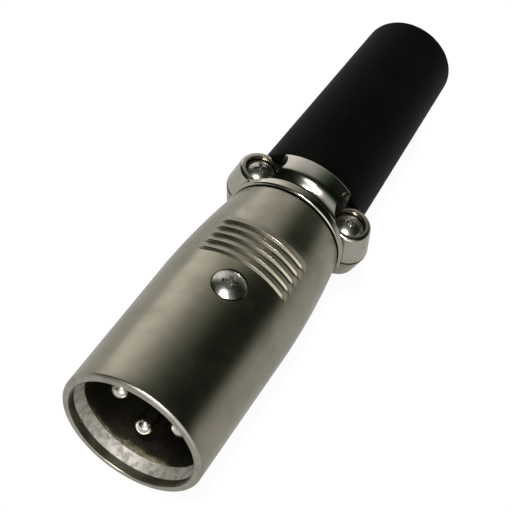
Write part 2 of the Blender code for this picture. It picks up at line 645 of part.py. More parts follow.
def lay_down():
    """Hangs the whole plug on one empty that lays it on its side, centred over the origin."""
    tail = BOOT_END - EAR_DEPTH
    end_face = BOOT_END_RADIUS - BOOT_END_ROUND
    overall = EAR_DEPTH + tail * math.cos(BOOT_LEAN) + end_face * math.sin(BOOT_LEAN)
    height = SHELL_RADIUS * math.cos(math.pi / SHELL_FACETS)
    axis = bpy.data.objects.new("plug_axis", None)
    axis.empty_display_size = SHELL_RADIUS
    axis.location = (0, -overall / 2, height)
    axis.rotation_euler = (math.pi / 2, 0, 0)
    loose = [piece for piece in bpy.data.objects if piece.parent is None]
    bpy.context.collection.objects.link(axis)
    for piece in loose:
        if piece is not axis:
            piece.parent = axis


for old in list(bpy.data.objects):
    bpy.data.objects.remove(old, do_unlink=True)
build_plug()
lay_down()
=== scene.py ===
"""Looks of a three-pin cable plug that lies on a pale table, its mouth towards the camera.

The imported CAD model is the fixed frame. The metal pieces and the boot are turned and cut here as
finer pieces in the same places, and the insert, its nut and the ground tab keep their CAD solids.
Sizes are in millimetres in the plug's own terms: a radius or an x and an up from its axis, and a
depth behind the mouth plane.
"""

import logging
import math
from dataclasses import dataclass, field
from enum import Enum
from typing import Callable, Optional, Union

import bpy
import numpy as np
from mathutils import Matrix, Vector


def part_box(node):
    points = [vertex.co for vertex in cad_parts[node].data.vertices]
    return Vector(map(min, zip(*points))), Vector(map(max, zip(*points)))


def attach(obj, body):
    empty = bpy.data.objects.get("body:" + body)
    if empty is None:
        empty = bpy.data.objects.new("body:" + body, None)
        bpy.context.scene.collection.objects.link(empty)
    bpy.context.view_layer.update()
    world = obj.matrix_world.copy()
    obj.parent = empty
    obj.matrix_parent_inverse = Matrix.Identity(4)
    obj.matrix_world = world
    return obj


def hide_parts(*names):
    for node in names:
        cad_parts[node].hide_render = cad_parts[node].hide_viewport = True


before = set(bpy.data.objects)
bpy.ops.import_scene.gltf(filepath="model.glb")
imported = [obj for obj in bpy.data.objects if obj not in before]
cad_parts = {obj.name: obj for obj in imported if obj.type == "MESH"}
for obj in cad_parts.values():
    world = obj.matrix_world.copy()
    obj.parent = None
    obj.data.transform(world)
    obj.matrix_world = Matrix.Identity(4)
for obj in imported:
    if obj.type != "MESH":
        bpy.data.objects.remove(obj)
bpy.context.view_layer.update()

MM = 0.001
LOG = logging.getLogger("cable_plug")

# How finely rounds are drawn
ARC_STEPS = 8
NOSE_STEPS = 12
SMALL_ARC_STEPS = 4
EDGE_BREAK_STEPS = 3
EAR_STEPS = 4
ROUND_SEGMENTS = 96
HOLE_SEGMENTS = 64
SMOOTH_ANGLE = 32.0

# Doubles closer than this are merged, in metres
WELD = 1e-7
# How far a cutter passes what it cuts, and how far the throat's cutter starts behind the chamber
OVERCUT = 2.0
THROAT_LEAD = 0.4
# How near to a stated depth or radius a vertex counts as on it
SAME_DEPTH = 0.01
SAME_RADIUS = 0.02
# A face whose normal points down more than this lies at the foot of a cutter
FACES_DOWN = -0.9

# The gap under a screw's head and round the ears, as in the CAD model
SEAT_GAP = 0.3
PIN_PLACES = ((4.2, 0.0), (-4.2, 0.0), (0.0, -4.2))
RETAINER_TURN = 20.0

Outline = list[tuple[float, float]]
Value = Union[float, tuple[float, ...]]


class Side(Enum):
    """The two ears of the cable clamp, seen from the mouth."""

    LEFT = -1
    RIGHT = 1


CLAMP_TURNS = {Side.LEFT: 35.0, Side.RIGHT: 10.0}


class Cut(Enum):
    """How one solid shapes another."""

    TAKE_AWAY = "DIFFERENCE"
    JOIN = "UNION"


class Pick(Enum):
    """What an edit-mode selection is made of."""

    VERTICES = "VERT"
    FACES = "FACE"


@dataclass(frozen=True)
class Datum:
    """Where the plug lies in the frame.

    Attributes:
        mouth_y: The mouth plane's y, in metres.
        axis_z: The height of the plug's axis, in metres.
    """

    mouth_y: float
    axis_z: float

    @classmethod
    def read(cls) -> "Datum":
        """Take the datum from the shell's face and a pin's middle.

        Returns:
            The datum.
        """
        shell_low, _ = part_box("shell")
        pin_low, pin_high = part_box("pin_1")
        return cls(shell_low.y, (pin_low.z + pin_high.z) / 2)

    def at(self, x: float, up: float, depth: float) -> Vector:
        """World point of a place that is given in millimetres."""
        return Vector((x * MM, self.mouth_y + depth * MM, self.axis_z + up * MM))

    def cylindrical(self, places: np.ndarray) -> tuple[np.ndarray, np.ndarray, np.ndarray]:
        """Turn world points to radius and depth in millimetres and angle from the top in degrees.

        Args:
            places: World points, one a row.

        Returns:
            The radii, the depths and the angles, right of the top positive.
        """
        x = places[:, 0] / MM
        up = (places[:, 2] - self.axis_z) / MM
        depth = (places[:, 1] - self.mouth_y) / MM
        return np.hypot(x, up), depth, np.degrees(np.arctan2(x, up))


DATUM = Datum.read()


def arc(centre: tuple[float, float], size: float, start: float, end: float,
        steps: int = ARC_STEPS) -> Outline:
    """Draw a round edge.

    Args:
        centre: The round's centre as (radius, depth).
        size: The round's own radius.
        start: First angle in degrees, 0 outwards and 90 towards the rear.
        end: Last angle in degrees.
        steps: How many straight steps stand for the arc.

    Returns:
        The points as (radius, depth).
    """
    angles = [math.radians(start + (end - start) * step / steps) for step in range(steps + 1)]
    return [(centre[0] + size * math.cos(a), centre[1] + size * math.sin(a)) for a in angles]


def run(start: tuple[float, float], end: tuple[float, float], spacing: float) -> Outline:
    """Draw a straight side in even steps.

    Args:
        start: The corner before the first point.
        end: The last point.
        spacing: About how far apart the points are.

    Returns:
        The points as (radius, depth).
    """
    length = math.dist(start, end)
    steps = max(1, round(length / spacing))
    return [(start[0] + (end[0] - start[0]) * i / steps, start[1] + (end[1] - start[1]) * i / steps)
            for i in range(1, steps + 1)]


def deselect_everything() -> None:
    """Leave edit mode and deselect every object."""
    if bpy.context.object is not None and bpy.context.object.mode != "OBJECT":
        bpy.ops.object.mode_set(mode="OBJECT")
    bpy.ops.object.select_all(action="DESELECT")


def take_up(piece: bpy.types.Object) -> None:
    """Make a piece the only selected and the active object.

    Args:
        piece: The piece, in any mode.
    """
    deselect_everything()
    piece.select_set(True)
    bpy.context.view_layer.objects.active = piece


def apply_place() -> None:
    """Put the active object's place, turn and size into its mesh."""
    bpy.ops.object.transform_apply(location=True, rotation=True, scale=True)


def open_primitive(name: str) -> bpy.types.Object:
    """Open the primitive that was just added, with all its vertices selected.

    Args:
        name: The name it gets.

    Returns:
        The primitive, in edit mode.
    """
    piece = bpy.context.object
    piece.name = name
    piece.data.name = name
    apply_place()
    bpy.ops.object.mode_set(mode="EDIT")
    bpy.ops.mesh.select_mode(type=Pick.VERTICES.value)
    bpy.ops.mesh.select_all(action="SELECT")
    return piece


def draw_line(name: str, points: list[Vector]) -> bpy.types.Object:
    """Start a piece as a line of edges, left in edit mode with all of it selected.

    Args:
        name: The piece's name.
        points: World points that the line passes through, in order.

    Returns:
        The new object.
    """
    deselect_everything()
    bpy.ops.mesh.primitive_plane_add(size=MM, location=points[0])
    piece = open_primitive(name)
    bpy.ops.mesh.merge(type="CENTER")
    for here, there in zip(points, points[1:]):
        bpy.ops.mesh.extrude_vertices_move(TRANSFORM_OT_translate={"value": there - here})
    merge_doubles()
    return piece


def merge_doubles() -> None:
    """Merge doubles in the open edit mesh and leave all of it selected."""
    bpy.ops.mesh.select_all(action="SELECT")
    bpy.ops.mesh.remove_doubles(threshold=WELD)
    bpy.ops.mesh.select_all(action="SELECT")


def close_up() -> None:
    """Merge doubles in the open edit mesh, turn all its faces outwards and leave edit mode."""
    merge_doubles()
    bpy.ops.mesh.normals_make_consistent(inside=False)
    bpy.ops.object.mode_set(mode="OBJECT")


def turned(name: str, outline: Outline, segments: int, ring: bool = False,
           centre: tuple[float, float] = (0.0, 0.0),
           sweep: tuple[float, float] = (0.0, 360.0)) -> bpy.types.Object:
    """Turn an outline about a line that runs from the mouth to the rear.

    Args:
        name: The piece's name.
        outline: Points as (radius, depth).
        segments: Steps of the turn.
        ring: Whether the outline closes on itself clear of the axis.
        centre: The line's x and up.
        sweep: First and last angle from the top in degrees, for a part turn of a ring.

    Returns:
        The closed piece, in object mode.
    """
    last = math.radians(sweep[1])
    places = [DATUM.at(centre[0] + radius * math.sin(last), centre[1] + radius * math.cos(last), depth)
              for radius, depth in outline]
    closing = [places[0]] if ring else []
    piece = draw_line(name, places + closing)
    turn = sweep[1] - sweep[0]
    if ring and turn < 360:
        bpy.ops.mesh.edge_face_add()
    bpy.ops.mesh.spin(steps=segments, angle=math.radians(turn), center=DATUM.at(centre[0], centre[1], 0),
                      axis=(0, 1, 0))
    close_up()
    return piece


def column(name: str, levels: list[tuple[float, float, float, float]],
           segments: int = ROUND_SEGMENTS) -> bpy.types.Object:
    """Loft an upright column through circles.

    Args:
        name: The piece's name.
        levels: Circles as (up, x, depth, radius), from one end to the other.
        segments: Vertices of each circle.

    Returns:
        The closed column, in object mode.
    """
    up, x, depth, radius = levels[0]
    deselect_everything()
    here = DATUM.at(x, up, depth)
    bpy.ops.mesh.primitive_circle_add(vertices=segments, radius=radius * MM, fill_type="NGON",
                                      location=here)
    piece = open_primitive(name)
    for up, x, depth, next_radius in levels[1:]:
        there = DATUM.at(x, up, depth)
        bpy.ops.mesh.extrude_region_move(TRANSFORM_OT_translate={"value": there - here})
        growth = next_radius / radius
        bpy.ops.transform.resize(value=(growth, growth, 1), center_override=there)
        here, radius = there, next_radius
    close_up()
    return piece


def block(name: str, x: tuple[float, float], up: tuple[float, float],
          depth: tuple[float, float]) -> bpy.types.Object:
    """Make a cutter with six flat sides.

    Args:
        name: The cutter's name.
        x: Its lowest and highest x.
        up: Its lowest and highest height.
        depth: Its nearest and farthest depth.

    Returns:
        The cutter.
    """
    low = DATUM.at(x[0], up[0], depth[0])
    high = DATUM.at(x[1], up[1], depth[1])
    deselect_everything()
    bpy.ops.mesh.primitive_cube_add(size=1, location=(low + high) / 2, scale=high - low)
    piece = bpy.context.object
    piece.name = name
    apply_place()
    return piece


def shaft(name: str, x: float, up: tuple[float, float], depth: float, radius: float,
          segments: int = HOLE_SEGMENTS) -> bpy.types.Object:
    """Make an upright round cutter.

    Args:
        name: The cutter's name.
        x: Its axis's x.
        up: Its lowest and highest height.
        depth: Its axis's depth.
        radius: Its radius.
        segments: Vertices of each end.

    Returns:
        The cutter.
    """
    return column(name, [(up[0], x, depth, radius), (up[1], x, depth, radius)], segments)


def throat_cutter(radius: float, front: float, rear: float, segments: int) -> bpy.types.Object:
    """Make the round cutter that clears the cable way of what the clamp's ears add.

    Args:
        radius: Radius of the cable way.
        front: Depth at which the cable way starts.
        rear: Depth at which the cutter ends.
        segments: Steps of the turn.

    Returns:
        The cutter.
    """
    start = front + THROAT_LEAD
    return turned("throat", [(0, start), (radius, start), (radius, rear), (0, rear)], segments)


def shape(piece: bpy.types.Object, how: Cut, *tools: bpy.types.Object) -> None:
    """Apply Booleans to a piece and drop the tools.

    Args:
        piece: The solid that is shaped.
        how: Whether the tools are taken away or joined.
        tools: The solids that shape it.
    """
    for tool in tools:
        take_up(piece)
        modifier = piece.modifiers.new(tool.name, "BOOLEAN")
        modifier.operation = how.value
        modifier.solver = "EXACT"
        modifier.object = tool
        bpy.ops.object.modifier_apply(modifier=modifier.name)
        mesh = tool.data
        bpy.data.objects.remove(tool)
        bpy.data.meshes.remove(mesh)


def select_where(piece: bpy.types.Object, pick: Pick,
                 test: Callable[[np.ndarray, np.ndarray, np.ndarray], np.ndarray]) -> None:
    """Select what lies where a test says, leaving the piece in edit mode.

    Args:
        piece: The piece to select on.
        pick: Vertices, or faces by all their corners.
        test: Takes radii, depths and angles and says which vertices count.
    """
    take_up(piece)
    bpy.ops.object.mode_set(mode="EDIT")
    bpy.ops.mesh.select_mode(type=pick.value)
    bpy.ops.mesh.select_all(action="DESELECT")
    bpy.ops.object.mode_set(mode="OBJECT")
    mesh = piece.data
    places = np.empty(len(mesh.vertices) * 3)
    mesh.vertices.foreach_get("co", places)
    inside = test(*DATUM.cylindrical(places.reshape(-1, 3)))
    if pick is Pick.VERTICES:
        flags, owner = inside, mesh.vertices
    else:
        flags = np.array([inside[list(face.vertices)].all() for face in mesh.polygons])
        owner = mesh.polygons
    owner.foreach_set("select", flags)
    bpy.ops.object.mode_set(mode="EDIT")


def smooth(piece: bpy.types.Object) -> None:
    """Shade a piece smooth apart from its sharp edges."""
    take_up(piece)
    bpy.ops.object.shade_smooth_by_angle(angle=math.radians(SMOOTH_ANGLE))


def linear(code: str) -> tuple[float, float, float, float]:
    """Turn an sRGB colour to a linear one.

    Args:
        code: Six hex digits, such as 8A8578.

    Returns:
        Linear red, green and blue, and an alpha of 1.
    """
    channels = [int(code[i:i + 2], 16) / 255 for i in (0, 2, 4)]
    decoded = [c / 12.92 if c <= 0.04045 else ((c + 0.055) / 1.055) ** 2.4 for c in channels]
    return (decoded[0], decoded[1], decoded[2], 1.0)


def add_node(tree: bpy.types.NodeTree, kind: str, settings: Optional[dict[str, object]] = None,
             values: Optional[dict[Union[str, int], Value]] = None,
             links: Optional[dict[Union[str, int], bpy.types.NodeSocket]] = None) -> bpy.types.Node:
    """Add one node.

    Args:
        tree: The tree it goes in.
        kind: The node's type name.
        settings: Properties to set on it.
        values: Values of its own input sockets.
        links: Output sockets to join to its inputs.

    Returns:
        The node.
    """
    node = tree.nodes.new(kind)
    for name, setting in (settings or {}).items():
        setattr(node, name, setting)
    for name, value in (values or {}).items():
        node.inputs[name].default_value = value
    for name, socket in (links or {}).items():
        tree.links.new(socket, node.inputs[name])
    return node


def new_tree(name: str) -> tuple[bpy.types.Material, bpy.types.NodeTree, bpy.types.Node]:
    """Make an empty material with its output.

    Args:
        name: The material's name.

    Returns:
        The material, its tree and its output node.
    """
    material = bpy.data.materials.new(name)
    material.use_nodes = True
    material.node_tree.nodes.clear()
    output = add_node(material.node_tree, "ShaderNodeOutputMaterial")
    return material, material.node_tree, output


def clouded(tree: bpy.types.NodeTree, place: bpy.types.NodeSocket, size: float,
            noise: tuple[float, float], band: tuple[float, float], colours: tuple[str, str],
            roughness: tuple[float, float]) -> tuple[bpy.types.NodeSocket, bpy.types.NodeSocket]:
    """Spread soft patches over a skin, with a tone and a roughness of their own.

    Args:
        tree: The material's tree.
        place: Socket of the Object coordinates.
        size: Size of the patches in millimetres.
        noise: Detail and roughness of the noise that draws them.
        band: Values of that noise at which a patch starts and at which it is full.
        colours: Hex colours of the plain skin and of the patches.
        roughness: Roughness of the plain skin and of the patches.

    Returns:
        The colour's socket and the roughness's.
    """
    clouds = add_node(tree, "ShaderNodeTexNoise",
                      values={"Scale": 1 / (size * MM), "Detail": noise[0], "Roughness": noise[1]},
                      links={"Vector": place}).outputs["Fac"]
    share = add_node(tree, "ShaderNodeMapRange", {"interpolation_type": "SMOOTHSTEP"},
                     {"From Min": band[0], "From Max": band[1]}, {"Value": clouds}).outputs["Result"]
    tone = add_node(tree, "ShaderNodeMix", {"data_type": "RGBA"},
                    {6: linear(colours[0]), 7: linear(colours[1])}, {0: share}).outputs[2]
    rough = add_node(tree, "ShaderNodeMapRange", None, {"To Min": roughness[0], "To Max": roughness[1]},
                     {"Value": share}).outputs["Result"]
    return tone, rough


@dataclass(frozen=True)
class PlatedMetal:
    """A plated metal surface.

    Attributes:
        name: The material's name.
        light: Colour where the plate is clean.
        dull: Colour of the faint clouds in it.
        roughness: Roughness of the clean plate.
        roughness_spread: How far the clouds change it.
        grain: Size of the surface grain in millimetres.
        relief: Depth of the grain in millimetres.
        cloud: Size of the clouds in millimetres.
    """

    name: str
    light: str
    dull: str
    roughness: float
    roughness_spread: float
    grain: float
    relief: float
    cloud: float

    def make(self) -> bpy.types.Material:
        """Build the material: clouded tone and roughness, and a fine cast grain.

        Returns:
            The material.
        """
        material, tree, output = new_tree(self.name)
        place = add_node(tree, "ShaderNodeTexCoord").outputs["Object"]
        tone, rough = clouded(tree, place, self.cloud, noise=(3.0, 0.55), band=(0.35, 0.7),
                              colours=(self.light, self.dull),
                              roughness=(self.roughness, self.roughness + self.roughness_spread))
        grain = add_node(tree, "ShaderNodeTexNoise",
                         values={"Scale": 1 / (self.grain * MM), "Detail": 2.0, "Roughness": 0.6},
                         links={"Vector": place}).outputs["Fac"]
        bump = add_node(tree, "ShaderNodeBump", None, {"Strength": 1.0, "Distance": self.relief * MM},
                        {"Height": grain}).outputs["Normal"]
        shader = add_node(tree, "ShaderNodeBsdfPrincipled", None, {"Metallic": 1.0},
                          {"Base Color": tone, "Roughness": rough, "Normal": bump})
        tree.links.new(shader.outputs["BSDF"], output.inputs["Surface"])
        return material


@dataclass(frozen=True)
class MouldedPolymer:
    """A moulded plastic or rubber surface.

    Attributes:
        name: The material's name.
        colour: Colour of the bulk.
        bloom: Colour of the faint pale bloom on it.
        roughness: Roughness of the skin.
        specular: Specular level of the skin.
        grain: Size of the mould's spark grain in millimetres.
        relief: Depth of the grain in millimetres.
        cloud: Size of the bloom's patches in millimetres.
        sheen: Weight of the dusty sheen at its edges.
        roughness_spread: How much rougher the bloom is than the skin.
    """

    name: str
    colour: str
    bloom: str
    roughness: float
    specular: float
    grain: float
    relief: float
    cloud: float
    sheen: float = 0.0
    roughness_spread: float = 0.12

    def make(self) -> bpy.types.Material:
        """Build the material: a grained skin with a patchy bloom.

        Returns:
            The material.
        """
        material, tree, output = new_tree(self.name)
        place = add_node(tree, "ShaderNodeTexCoord").outputs["Object"]
        tone, rough = clouded(tree, place, self.cloud, noise=(4.0, 0.6), band=(0.4, 0.75),
                              colours=(self.colour, self.bloom),
                              roughness=(self.roughness, self.roughness + self.roughness_spread))
        grain = add_node(tree, "ShaderNodeTexVoronoi", {"feature": "SMOOTH_F1"},
                         {"Scale": 1 / (self.grain * MM), "Smoothness": 0.6}, {"Vector": place})
        bump = add_node(tree, "ShaderNodeBump", None, {"Strength": 1.0, "Distance": self.relief * MM},
                        {"Height": grain.outputs["Distance"]}).outputs["Normal"]
        shader = add_node(tree, "ShaderNodeBsdfPrincipled", None,
                          {"Metallic": 0.0, "Specular IOR Level": self.specular, "IOR": 1.5,
                           "Sheen Weight": self.sheen, "Sheen Roughness": 0.45},
                          {"Base Color": tone, "Roughness": rough, "Normal": bump})
        tree.links.new(shader.outputs["BSDF"], output.inputs["Surface"])
        return material


# Zinc die casting, tumbled and satin nickel plated: soft broad reflections, faint clouds
SATIN_NICKEL = PlatedMetal("satin_nickel_plated_zinc", "969080", "8B8675", 0.24, 0.05, 0.16, 0.0012, 3.5)
# The mouth's rim, faced and then plated: a little rougher than the casting's skin
FACED_NICKEL = PlatedMetal("faced_nickel_plated_zinc", "ACA99E", "9A978B", 0.40, 0.06, 0.20, 0.0060, 1.6)
# The lead-in in the mouth, left as the lathe cut it: rough, pale and mottled
TURNED_NICKEL = PlatedMetal("turned_nickel_plated_zinc", "D2CEC6", "9C9890", 0.60, 0.12, 0.22, 0.0160, 0.8)
# The same casting alloy, bright plated: a tighter reflection with a slight cast ripple
BRIGHT_NICKEL = PlatedMetal("bright_nickel_plated_zinc", "B4B0A4", "A5A092", 0.13, 0.05, 0.35, 0.0015, 2.5)
# Cold-headed steel, barrel nickel plated: knocked in the barrel, so its glints are soft and uneven
SCREW_PLATE = PlatedMetal("nickel_plated_steel", "B4B1A9", "96948D", 0.22, 0.08, 0.45, 0.0060, 0.9)
# Turned brass, silver plated: pale and bright
CONTACT_SILVER = PlatedMetal("silver_plated_brass", "E4E2DC", "CFCCC2", 0.15, 0.06, 0.20, 0.0008, 1.0)
# Bare brass, stamped
STAMPED_BRASS = PlatedMetal("stamped_brass", "C9A85C", "B08F48", 0.28, 0.08, 0.20, 0.0010, 1.0)
# Glass-filled nylon, moulded: near black with a slight sheen
INSULATOR = MouldedPolymer("moulded_black_nylon", "0E0E0E", "1A191B", 0.42, 0.5, 0.12, 0.0040, 1.5)
# Thermoplastic rubber, moulded in a spark-eroded tool: matt black
BOOT_RUBBER = MouldedPolymer("moulded_black_rubber", "020302", "040604", 0.56, 0.012, 0.14, 0.0060, 5.0,
                             0.022)


def dress(piece: bpy.types.Object, material: bpy.types.Material) -> None:
    """Give a piece one material."""
    piece.data.materials.clear()
    piece.data.materials.append(material)


def settle(piece: bpy.types.Object, material: bpy.types.Material, slot: str, *nodes: str) -> bpy.types.Object:
    """Finish a new piece that stands for CAD nodes.

    Args:
        piece: The new piece, its place in its mesh.
        material: Its finish.
        slot: Name of the material slot that the piece fills; not used.
        nodes: The CAD nodes that it replaces.

    Returns:
        The same piece.
    """
    smooth(piece)
    dress(piece, material)
    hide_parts(*nodes)
    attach(piece, "root")
    return piece


@dataclass
class ClampEars:
    """The two screw ears of the cable clamp, shared by the shell, the saddle and the boot.

    Attributes:
        depth: Depth of the screws' axes.
        spread: How far the screws stand from the plug's axis.
        split_radius: Ear radius at the joint of the two halves.
        split_offset: How far the ear stands out beyond the screw there.
        split: Half of the gap between the two halves.
        top: Height of the upper ear.
        top_radius: Its radius there.
        top_round: The round of its rim.
        foot: Depth of the lower ear below the axis.
        foot_radius: Its radius there.
        foot_offset: How far it stands out beyond the screw there.
        foot_round: The round of its foot.
        screw_hole: Radius of the holes for the screws.
        recess_radius: Radius of the recess for a screw's head.
        recess_floor: Height of that recess's floor.
        tapped_end: How far below the axis the blind hole ends.
    """

    depth: float = 41.5
    spread: float = 6.93
    split_radius: float = 3.3
    split_offset: float = 0.4
    split: float = 0.15
    top: float = 4.3
    top_radius: float = 2.8
    top_round: float = 0.4
    foot: float = 4.0
    foot_radius: float = 2.6
    foot_offset: float = 0.17
    foot_round: float = 0.8
    screw_hole: float = 1.4
    recess_radius: float = 2.12
    recess_floor: float = 2.9
    tapped_end: float = 3.3

    def levels(self, side: Side, upper: bool, growth: float = 0.0,
               lengthen: float = 0.0) -> list[tuple[float, float, float, float]]:
        """Draw the circles of one ear from the mid plane to its rounded end.

        Args:
            side: Which ear.
            upper: Whether the saddle's ear is meant and not the shell's.
            growth: Added to each radius.
            lengthen: Added to the ear's length.

        Returns:
            Circles as (up, x, depth, radius).
        """
        if upper:
            reach, end_offset, end_radius, end_round, up = (self.top, 0.0, self.top_radius, self.top_round, 1)
        else:
            reach, end_offset, end_radius, end_round, up = (self.foot, self.foot_offset, self.foot_radius,
                                                            self.foot_round, -1)
        reach += lengthen

        def level(height: float, inset: float) -> tuple[float, float, float, float]:
            """Draw one circle of the ear.

            Args:
                height: Its distance from the mid plane.
                inset: How far it is drawn in.

            Returns:
                The circle as (up, x, depth, radius).
            """
            share = max(0.0, height - self.split) / (reach - self.split)
            offset = self.split_offset + (end_offset - self.split_offset) * share
            radius = self.split_radius + (end_radius - self.split_radius) * share
            return (up * height, side.value * (self.spread + offset), self.depth, radius - inset + growth)

        straight = reach - end_round - self.split
        circles = [level(0.0, 0.0)]
        circles += [level(self.split + straight * i / EAR_STEPS, 0.0) for i in range(EAR_STEPS)]
        for step in range(ARC_STEPS + 1):
            angle = math.pi / 2 * step / ARC_STEPS
            circles.append(level(reach - end_round * (1 - math.sin(angle)),
                                 end_round * (1 - math.cos(angle))))
        return circles


@dataclass
class Shell:
    """The cast shell with its mouth, its thumb grip and the lower half of the cable clamp.

    Attributes:
        ears: The clamp's ears.
        radius: Outside radius of the straight front.
        straight: Length of that front.
        arc_radius: Radius of the long arc that narrows the rear.
        rear: Depth at which the upper half ends.
        clamp_rear: Depth at which the lower half ends.
        clamp_step: How far the lower clamp stands out of the shell's rear.
        clamp_round: Round of the lower clamp's rear edge.
        rim_round: Round of the mouth's outer edge.
        rim_share: Share of that round that was faced with the rim.
        rim_break: Round of its inner edge.
        mouth_radius: Radius of the mouth's counterbore.
        mouth_depth: Its depth.
        mouth_chamfer: Length of the cone behind it.
        bore_radius: Radius that holds the insert.
        shoulder: Depth of the insert's stop.
        chamber_radius: Radius of the wiring chamber.
        chamber_rear: Its rear end.
        throat_radius: Radius of the cable way through the clamp.
        ring_spacing: About how far apart the shell's rings of vertices are.
        segments: Steps of the turn.
        grip_front: Depth at which the thumb grip starts.
        grip_lead: How far before it the plain front's rings end.
        grip_pitch: From one of its steps to the next.
        grip_steps: How many steps it has.
        grip_bands: Angles from the top up to which the steps keep a share of their height.
        retainer_depth: Depth of the retaining screw's axis.
        retainer_hole: Radius of its hole.
        head_seat_radius: Radius of the flat seat for its head.
        head_seat_floor: Height of that seat.
        latch_width: Width of the latch's pocket in the top of the bore.
        latch_length: Its length.
        latch_front: Depth at which it starts.
        latch_cut: How deep it is cut.
        tooth: One step's section, as (depth from its start, height above the shell).
    """

    ears: ClampEars
    radius: float = 9.479
    straight: float = 20.45
    arc_radius: float = 104.5
    rear: float = 37.0
    clamp_rear: float = 43.65
    clamp_step: float = 0.16
    clamp_round: float = 0.3
    rim_round: float = 0.5
    rim_share: float = 0.8
    rim_break: float = 0.12
    mouth_radius: float = 8.5
    mouth_depth: float = 1.2
    mouth_chamfer: float = 1.65
    bore_radius: float = 8.1
    shoulder: float = 26.6
    chamber_radius: float = 7.0
    chamber_rear: float = 38.8
    throat_radius: float = 4.9
    ring_spacing: float = 1.2
    segments: int = 192
    grip_front: float = 22.6
    grip_lead: float = 0.3
    grip_pitch: float = 1.39
    grip_steps: int = 5
    grip_bands: Outline = field(default_factory=lambda: [(36.5, 1.0), (38.5, 0.75), (40.5, 0.35)])
    retainer_depth: float = 18.9
    retainer_hole: float = 1.4
    head_seat_radius: float = 2.3
    head_seat_floor: float = 8.75
    latch_width: float = 4.4
    latch_length: float = 2.6
    latch_front: float = 4.2
    latch_cut: float = 0.7
    tooth: Outline = field(default_factory=lambda: [(0.0, 0.0), (0.05, 0.05), (0.12, 0.15), (0.19, 0.25),
                                                    (0.25, 0.30), (0.34, 0.29), (0.6, 0.21), (0.95, 0.11),
                                                    (1.27, 0.02)])

    def radius_at(self, depth: float) -> float:
        """Outside radius of the shell at a depth."""
        past = max(0.0, depth - self.straight)
        return self.radius - self.arc_radius + math.sqrt(self.arc_radius ** 2 - past ** 2)

    def grip_rings(self) -> Outline:
        """Depths of the grip's rings with the height of each above the shell."""
        rings = [(self.grip_front + step * self.grip_pitch + offset, height)
                 for step in range(self.grip_steps) for offset, height in self.tooth]
        return rings + [(self.grip_front + self.grip_steps * self.grip_pitch, 0.0)]

    def outline(self) -> Outline:
        """Draw the section of the turned casting, outside first and then back through the bore.

        Returns:
            The section's points as (radius, depth).
        """
        rim = (self.radius - self.rim_round, self.rim_round)
        points = arc((self.mouth_radius + self.rim_break, self.rim_break), self.rim_break, 180, 270,
                     EDGE_BREAK_STEPS)
        points += arc(rim, self.rim_round, -90, 0)
        points += run(points[-1], (self.radius, self.grip_front - self.grip_lead), self.ring_spacing)
        grip = [depth for depth, _ in self.grip_rings()]
        points += [(self.radius_at(depth), depth) for depth in grip]
        count = round((self.rear - grip[-1]) / self.ring_spacing)
        for step in range(1, count + 1):
            depth = grip[-1] + (self.rear - grip[-1]) * step / count
            points.append((self.radius_at(depth), depth))
        rear_radius = self.radius_at(self.rear) + self.clamp_step
        round_centre = (rear_radius - self.clamp_round, self.clamp_rear - self.clamp_round)
        points += run(points[-1], (rear_radius, round_centre[1]), self.ring_spacing)
        points += arc(round_centre, self.clamp_round, 0, 90)[1:]
        inside = [(self.throat_radius, self.clamp_rear), (self.throat_radius, self.chamber_rear),
                  (self.chamber_radius, self.chamber_rear), (self.chamber_radius, self.shoulder),
                  (self.bore_radius, self.shoulder),
                  (self.bore_radius, self.mouth_depth + self.mouth_chamfer),
                  (self.mouth_radius, self.mouth_depth)]
        for corner in inside:
            points += run(points[-1], corner, self.ring_spacing)
        return points

    def raise_grip(self, shell: bpy.types.Object) -> None:
        """Raise the grip's rings out of the top of the shell, less and less towards their ends.

        Args:
            shell: The turned shell, before its cuts.
        """
        middle = DATUM.at(0, 0, 0)
        for depth, height in self.grip_rings():
            surface = self.radius_at(depth)
            inner = 0.0
            for outer, share in self.grip_bands if height else []:
                select_where(shell, Pick.VERTICES, lambda r, d, angle:
                             (np.abs(d - depth) < SAME_DEPTH) & (np.abs(r - surface) < SAME_RADIUS)
                             & (np.abs(angle) >= inner) & (np.abs(angle) < outer))
                growth = 1 + height * share / surface
                bpy.ops.transform.resize(value=(growth, 1, growth), center_override=middle)
                bpy.ops.object.mode_set(mode="OBJECT")
                inner = outer

    def dress_mouth(self, shell: bpy.types.Object, faced: bpy.types.Material,
                    turned_skin: bpy.types.Material) -> None:
        """Give the mouth's rim and the cone in it their own finishes.

        Args:
            shell: The finished shell.
            faced: The faced surface of the rim.
            turned_skin: The turned surface of the cone.
        """
        wall = self.mouth_radius + SAME_DEPTH
        front, rear = self.mouth_depth - SAME_DEPTH, self.mouth_depth + self.mouth_chamfer + SAME_DEPTH
        for skin, test in ((faced, lambda r, d, angle: (r > wall) & (d < self.rim_round * self.rim_share)),
                           (turned_skin, lambda r, d, angle: (r < wall) & (d > front) & (d < rear))):
            shell.data.materials.append(skin)
            select_where(shell, Pick.FACES, test)
            shell.active_material_index = len(shell.data.materials) - 1
            bpy.ops.object.material_slot_assign()
            bpy.ops.object.mode_set(mode="OBJECT")

